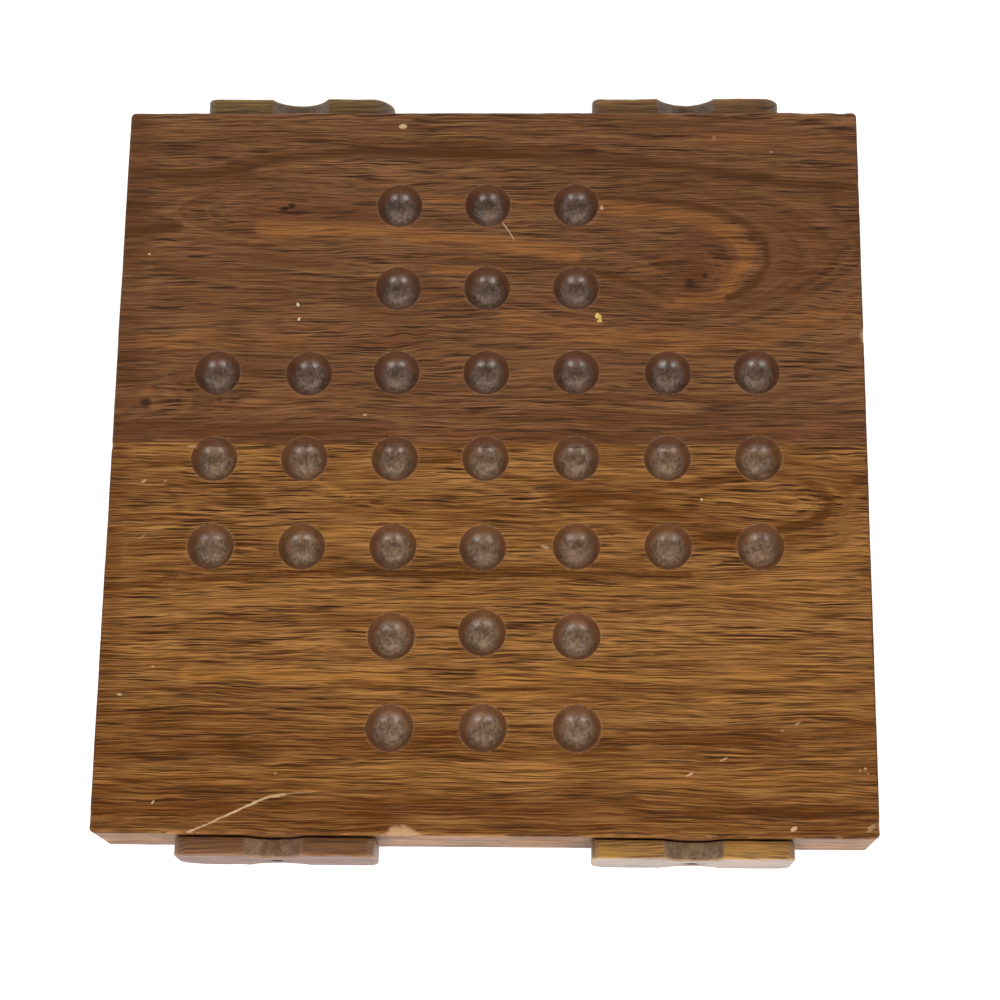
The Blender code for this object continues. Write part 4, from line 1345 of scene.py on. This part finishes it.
def plankMaterial(name, look, hollow, rear):
    material, tree, shader = newMaterial(name)
    shader.inputs["Specular IOR Level"].default_value = surfaceFinish["specular"]
    shader.inputs["Coat Roughness"].default_value = surfaceFinish["coatRoughness"]
    place = put(tree, "TexCoord").outputs["Object"]
    flow = attribute(tree, "grainFlow", "Vector")
    rings = attribute(tree, "ringNumber", "Fac")
    tones = attribute(tree, "grainTone", "Vector")
    grain = useGroup(tree, walnutGrain, Flow=flow, Rings=rings, Tones=tones, **sockets(look))
    reach, edge, broken = parts(tree, attribute(tree, "wear", "Vector"))
    bored = useGroup(tree, boredWood, Place=place, **sockets(hollow, "dark", "grey", "red"))
    inside = step(tree, reach, *hollowReach["inside"])
    # a paler ring round each rim, broken into patches by the mottle: painted highlight of the rim's rounding
    rimHighlight = times(tree, step(tree, reach, *hollowReach["haloFrom"]), step(tree, reach, *hollowReach["haloTo"]))
    rimHighlight = times(tree, rimHighlight, step(tree, bored["Height"], *hollowReach["haloPatches"]))
    # darker towards the rim on the steep wall: painted shade
    ragged = plus(tree, reach, times(tree, bored["Height"], hollowReach["ragged"]))
    boredColour = mixed(tree, step(tree, ragged, *hollowReach["wall"]), bored["Color"], hollow["wall"])
    # the bowl's bottom lightened in speckled patches: painted light against the shade on the deep floor
    dust = step(tree, reach, *hollowReach["dust"])
    dustPatches = step(tree, bored["Height"], *hollowReach["dustPatches"])
    boredColour = mixed(tree, times(tree, dust, dustPatches), boredColour, hollow["dust"])
    crossCut = useGroup(
        tree, endGrain, Rings=rings, Mottle=bored["Height"], **sockets(look, "deep", "brown", "pore")
    )
    colour = mixed(tree, attribute(tree, "sawnEnd", "Fac"), grain["Color"], crossCut["Color"])
    colour = mixed(tree, inside, colour, boredColour)
    # painted highlight on the rim
    colour = mixed(tree, rimHighlight, colour, look["tan"])
    worn = useGroup(tree, edgeWear, Place=place, Distance=edge, **surfaceFinish["wear"])["Mask"]
    colour = mixed(tree, worn, colour, look["tan"])
    colour = mixed(tree, broken, colour, surfaceFinish["fresh"])
    colour, markMask = paintMarks(tree, place, colour, rear)
    tree.links.new(colour, shader.inputs["Base Color"])
    smudge = useGroup(tree, handled, Place=place)["Smudge"]
    clean = surfaceFinish["roughness"] - surfaceFinish["lessWhereClean"]
    roughness = plus(tree, clean, times(tree, smudge, surfaceFinish["smudged"]))
    roughness = plus(tree, roughness, times(tree, grain["Pores"], surfaceFinish["poreRoughness"]))
    less, more = hollowReach["roughSpread"]
    spread = hollow["roughness"] - less, hollow["roughness"] + more
    boredRough = step(tree, bored["Sheen"], *hollowReach["sheenPatches"], *spread)
    roughness = blended(tree, inside, roughness, boredRough)
    roughness = plus(tree, roughness, times(tree, larger(tree, broken, markMask), surfaceFinish["scuffed"]), True)
    tree.links.new(roughness, shader.inputs["Roughness"])
    tree.links.new(times(tree, inside, hollow["gloss"]), shader.inputs["Coat Weight"])  # burnished by marbles
    height = blended(tree, inside, grain["Height"], bored["Height"])
    relief = {"Strength": surfaceFinish["bumpStrength"], "Distance": surfaceFinish["bump"], "Height": height}
    bump = put(tree, "Bump", relief)
    tree.links.new(bump.outputs[0], shader.inputs["Normal"])
    return material


# The bars' colours: face on the outer side, cut in the notches and on the ends
buttonLooks = {
    "FrontLeft": {
        "deep": srgb(60, 36, 20), "brown": srgb(94, 60, 34), "tan": srgb(126, 86, 54), "golden": srgb(128, 84, 46),
        "face": srgb(80, 44, 18), "cut": srgb(132, 100, 76), "cutDark": srgb(98, 70, 48),
    },
    "FrontRight": {
        "deep": srgb(100, 64, 24), "brown": srgb(140, 99, 44), "tan": srgb(166, 124, 64),
        "golden": srgb(172, 128, 58), "face": srgb(134, 132, 136), "cut": srgb(126, 102, 78),
        "cutDark": srgb(94, 72, 50),
    },
    "RearLeft": {
        "deep": srgb(74, 46, 16), "brown": srgb(112, 82, 36), "tan": srgb(142, 112, 58), "golden": srgb(150, 116, 54),
        "face": srgb(104, 80, 48), "cut": srgb(104, 80, 60), "cutDark": srgb(78, 58, 40),
    },
    "RearRight": {
        "deep": srgb(74, 44, 18), "brown": srgb(112, 76, 36), "tan": srgb(142, 104, 58), "golden": srgb(150, 106, 52),
        "face": srgb(104, 74, 46), "cut": srgb(104, 78, 56), "cutDark": srgb(78, 56, 38),
    },
}
# What all four bars share
barFinish = {
    "specular": 0.3,
    "roughness": 0.4,
    "poreRoughness": 0.2,
    "bumpStrength": 0.6,
    "bump": 0.00014,  # metres
    # the recess colour is painted shade in the pin head's recess
    "recess": srgb(40, 24, 18),
    "faceFrom": (2.1, 2.5, 0.0, 0.45),  # mm from the bar's middle
    "grain": {"Red": srgb(84, 46, 28), "Pore": srgb(44, 24, 12), "PoreStrength": 0.6, "Contrast": 1.1, "Level": 0.52},
    "wear": {"Reach": 0.9, "Amount": 0.5},
}


def buttonMaterial(name, look):
    material, tree, shader = newMaterial(name)
    shader.inputs["Specular IOR Level"].default_value = barFinish["specular"]
    place = put(tree, "TexCoord").outputs["Object"]
    flow = attribute(tree, "grainFlow", "Vector")
    rings, tones = attribute(tree, "ringNumber", "Fac"), attribute(tree, "grainTone", "Vector")
    colours = sockets(look, "deep", "brown", "tan", "golden")
    grain = useGroup(tree, walnutGrain, Flow=flow, Rings=rings, Tones=tones, **colours, **barFinish["grain"])
    cut, edge, recess = parts(tree, attribute(tree, "wear", "Vector"))
    bored = useGroup(tree, boredWood, Place=place, Dark=look["cutDark"], Grey=look["cut"], Red=look["cut"])
    faceShare = step(tree, parts(tree, flow)[2], *barFinish["faceFrom"])
    colour = mixed(tree, faceShare, grain["Color"], look["face"])
    colour = mixed(tree, cut, colour, bored["Color"])
    worn = useGroup(tree, edgeWear, Place=place, Distance=edge, **barFinish["wear"])["Mask"]
    colour = mixed(tree, worn, colour, look["tan"])
    # painted shade in the pin head's recess
    colour = mixed(tree, recess, colour, barFinish["recess"])
    tree.links.new(colour, shader.inputs["Base Color"])
    roughness = plus(tree, barFinish["roughness"], times(tree, grain["Pores"], barFinish["poreRoughness"]))
    tree.links.new(roughness, shader.inputs["Roughness"])
    relief = {"Strength": barFinish["bumpStrength"], "Distance": barFinish["bump"], "Height": grain["Height"]}
    bump = put(tree, "Bump", relief)
    tree.links.new(bump.outputs[0], shader.inputs["Normal"])
    return material


steel = {
    "bright": srgb(70, 62, 54),
    "tarnish": srgb(38, 31, 27),
    "tarnishFrom": (0.4, 0.65),
    "metallic": (0.35, 0.7, 0.85, 0.3),
    "roughness": (0.3, 0.7, 0.38, 0.65),
    "patchScale": (900, 900, 900),
    "scratchScale": (6000, 1200, 6000),
    "scratchShare": 0.4,
    "bumpStrength": 0.5,
    "bump": 0.00005,  # metres
}


def pinMaterial():
    # dulled steel with brown tarnish in patches and fine turning scratches
    material, tree, shader = newMaterial("dulledSteel")
    place = put(tree, "TexCoord").outputs["Object"]
    patches = noise(tree, stretched(tree, place, steel["patchScale"]), 4, 0.6)
    turned = noise(tree, stretched(tree, place, steel["scratchScale"]), 2)
    colour = mixed(tree, step(tree, patches, *steel["tarnishFrom"]), steel["bright"], steel["tarnish"])
    tree.links.new(colour, shader.inputs["Base Color"])
    tree.links.new(step(tree, patches, *steel["metallic"]), shader.inputs["Metallic"])
    tree.links.new(step(tree, patches, *steel["roughness"]), shader.inputs["Roughness"])
    height = plus(tree, patches, times(tree, turned, steel["scratchShare"]))
    bump = put(tree, "Bump", {"Strength": steel["bumpStrength"], "Distance": steel["bump"], "Height": height})
    tree.links.new(bump.outputs[0], shader.inputs["Normal"])
    return material


rearPlank = addPiece("rearPlankWood", rearMesh, "board", "rear_plank")
frontPlank = addPiece("frontPlankWood", frontMesh, "board", "front_plank")
rearPlank.data.materials.append(plankMaterial("rearWalnut", rearWalnut, rearHollows, True))
frontPlank.data.materials.append(plankMaterial("frontWalnut", frontWalnut, frontHollows, False))
for piece in buttonPieces:
    place = piece.name.replace("turnButton", "")
    piece.data.materials.append(buttonMaterial("button" + place + "Walnut", buttonLooks[place]))
dulledSteel = pinMaterial()
for piece in pinPieces:
    piece.data.materials.append(dulledSteel)
print("finishes made")

# The floor, the light and the view
stage = {
    "floorSize": 3.0,
    "floorHeight": -0.0001,  # just under the board
    "floorColour": (0.9, 0.9, 0.9, 1),
    "floorRoughness": 0.9,
    "floorGlow": 0.45,
    "zenith": 0.14,  # the sky straight above, as a share of the rest
    "frontGlow": 0.55,
    "rearGlow": 2.35,
    "rearFrom": (-0.4, 0.6),  # along the sky's direction to the rear
    "zenithFrom": (0.58, 0.88),  # up the sky
    "keyPower": 6.4,
    "keySize": 0.3,
    "keyDistance": 1.0,
    "keyTurns": (-30, 30),  # degrees from the front
    "keyHeight": 26,  # degrees
}


def addFloor():
    half = stage["floorSize"]
    floorMesh = bpy.data.meshes.new("paleFloor")
    corners = [(-half, -half), (half, -half), (half, half), (-half, half)]
    floorMesh.from_pydata([(x, y, stage["floorHeight"]) for x, y in corners], [], [(0, 1, 2, 3)])
    floor = addObject("paleFloor", floorMesh)
    material, tree, shader = newMaterial("paleFloor")
    shader.inputs["Base Color"].default_value = stage["floorColour"]
    shader.inputs["Roughness"].default_value = stage["floorRoughness"]
    shader.inputs["Specular IOR Level"].default_value = 0.0
    path = put(tree, "LightPath").outputs
    mirrored = larger(tree, path["Is Glossy Ray"], path["Is Transmission Ray"])
    seen = larger(tree, path["Is Camera Ray"], mirrored)
    shader.inputs["Emission Color"].default_value = (1, 1, 1, 1)
    tree.links.new(times(tree, seen, stage["floorGlow"]), shader.inputs["Emission Strength"])
    floorMesh.materials.append(material)


def addWorld():
    # a soft tent: bright behind the board, dimmer in front and overhead
    world = bpy.data.worlds.new("softTent")
    bpy.context.scene.world = world
    world.use_nodes = True
    tree = world.node_tree
    background = tree.nodes["Background"]
    direction = put(tree, "TexCoord").outputs["Generated"]
    _, back, height = parts(tree, direction)
    glow = step(tree, back, *stage["rearFrom"], stage["frontGlow"], stage["rearGlow"])
    glow = times(tree, glow, step(tree, height, *stage["zenithFrom"], 1.0, stage["zenith"]))
    background.inputs["Color"].default_value = (1, 1, 1, 1)
    tree.links.new(glow, background.inputs["Strength"])


def addLamp(name, turn, height, power, size, distance):
    # a square soft lamp at a heading from the front and a height, both in degrees, facing the board's middle
    turn, height = math.radians(turn), math.radians(height)
    away = np.array([math.sin(turn) * math.cos(height), -math.cos(turn) * math.cos(height), math.sin(height)])
    light = bpy.data.lights.new(name, "AREA")
    light.energy = power
    light.size = size
    lamp = addObject(name, light)
    lamp.location = away * distance
    lamp.rotation_euler = (math.pi / 2 - height, 0, turn)


photoView = {
    "sensor": 36,  # mm
    "focal": 2292.28309,  # in the photo's pixels
    "width": 1000,  # the photo's, in pixels
    "place": (0.02172, -0.18331, 0.64032),  # metres
    "turns": (("Z", -0.00377), ("Y", -0.02839), ("X", -0.27172)),  # radians
}


def addCamera():
    # the photograph's own view, fitted to the dimples and the board's edges
    data = bpy.data.cameras.new("photoView")
    data.sensor_width = photoView["sensor"]
    data.lens = photoView["sensor"] * photoView["focal"] / photoView["width"]
    data.clip_start = 0.01
    camera = addObject("photoView", data)
    turned = Matrix.Identity(4)
    for axis, angle in photoView["turns"]:
        turned = turned @ Matrix.Rotation(angle, 4, axis)
    camera.matrix_world = Matrix.Translation(photoView["place"]) @ turned.transposed()
    bpy.context.scene.camera = camera


addFloor()
addWorld()
for side, turn in zip(("Left", "Right"), stage["keyTurns"]):
    addLamp("softLamp" + side, turn, stage["keyHeight"], stage["keyPower"], stage["keySize"], stage["keyDistance"])
addCamera()
bpy.context.scene.view_settings.view_transform = "Standard"
print("stage set")
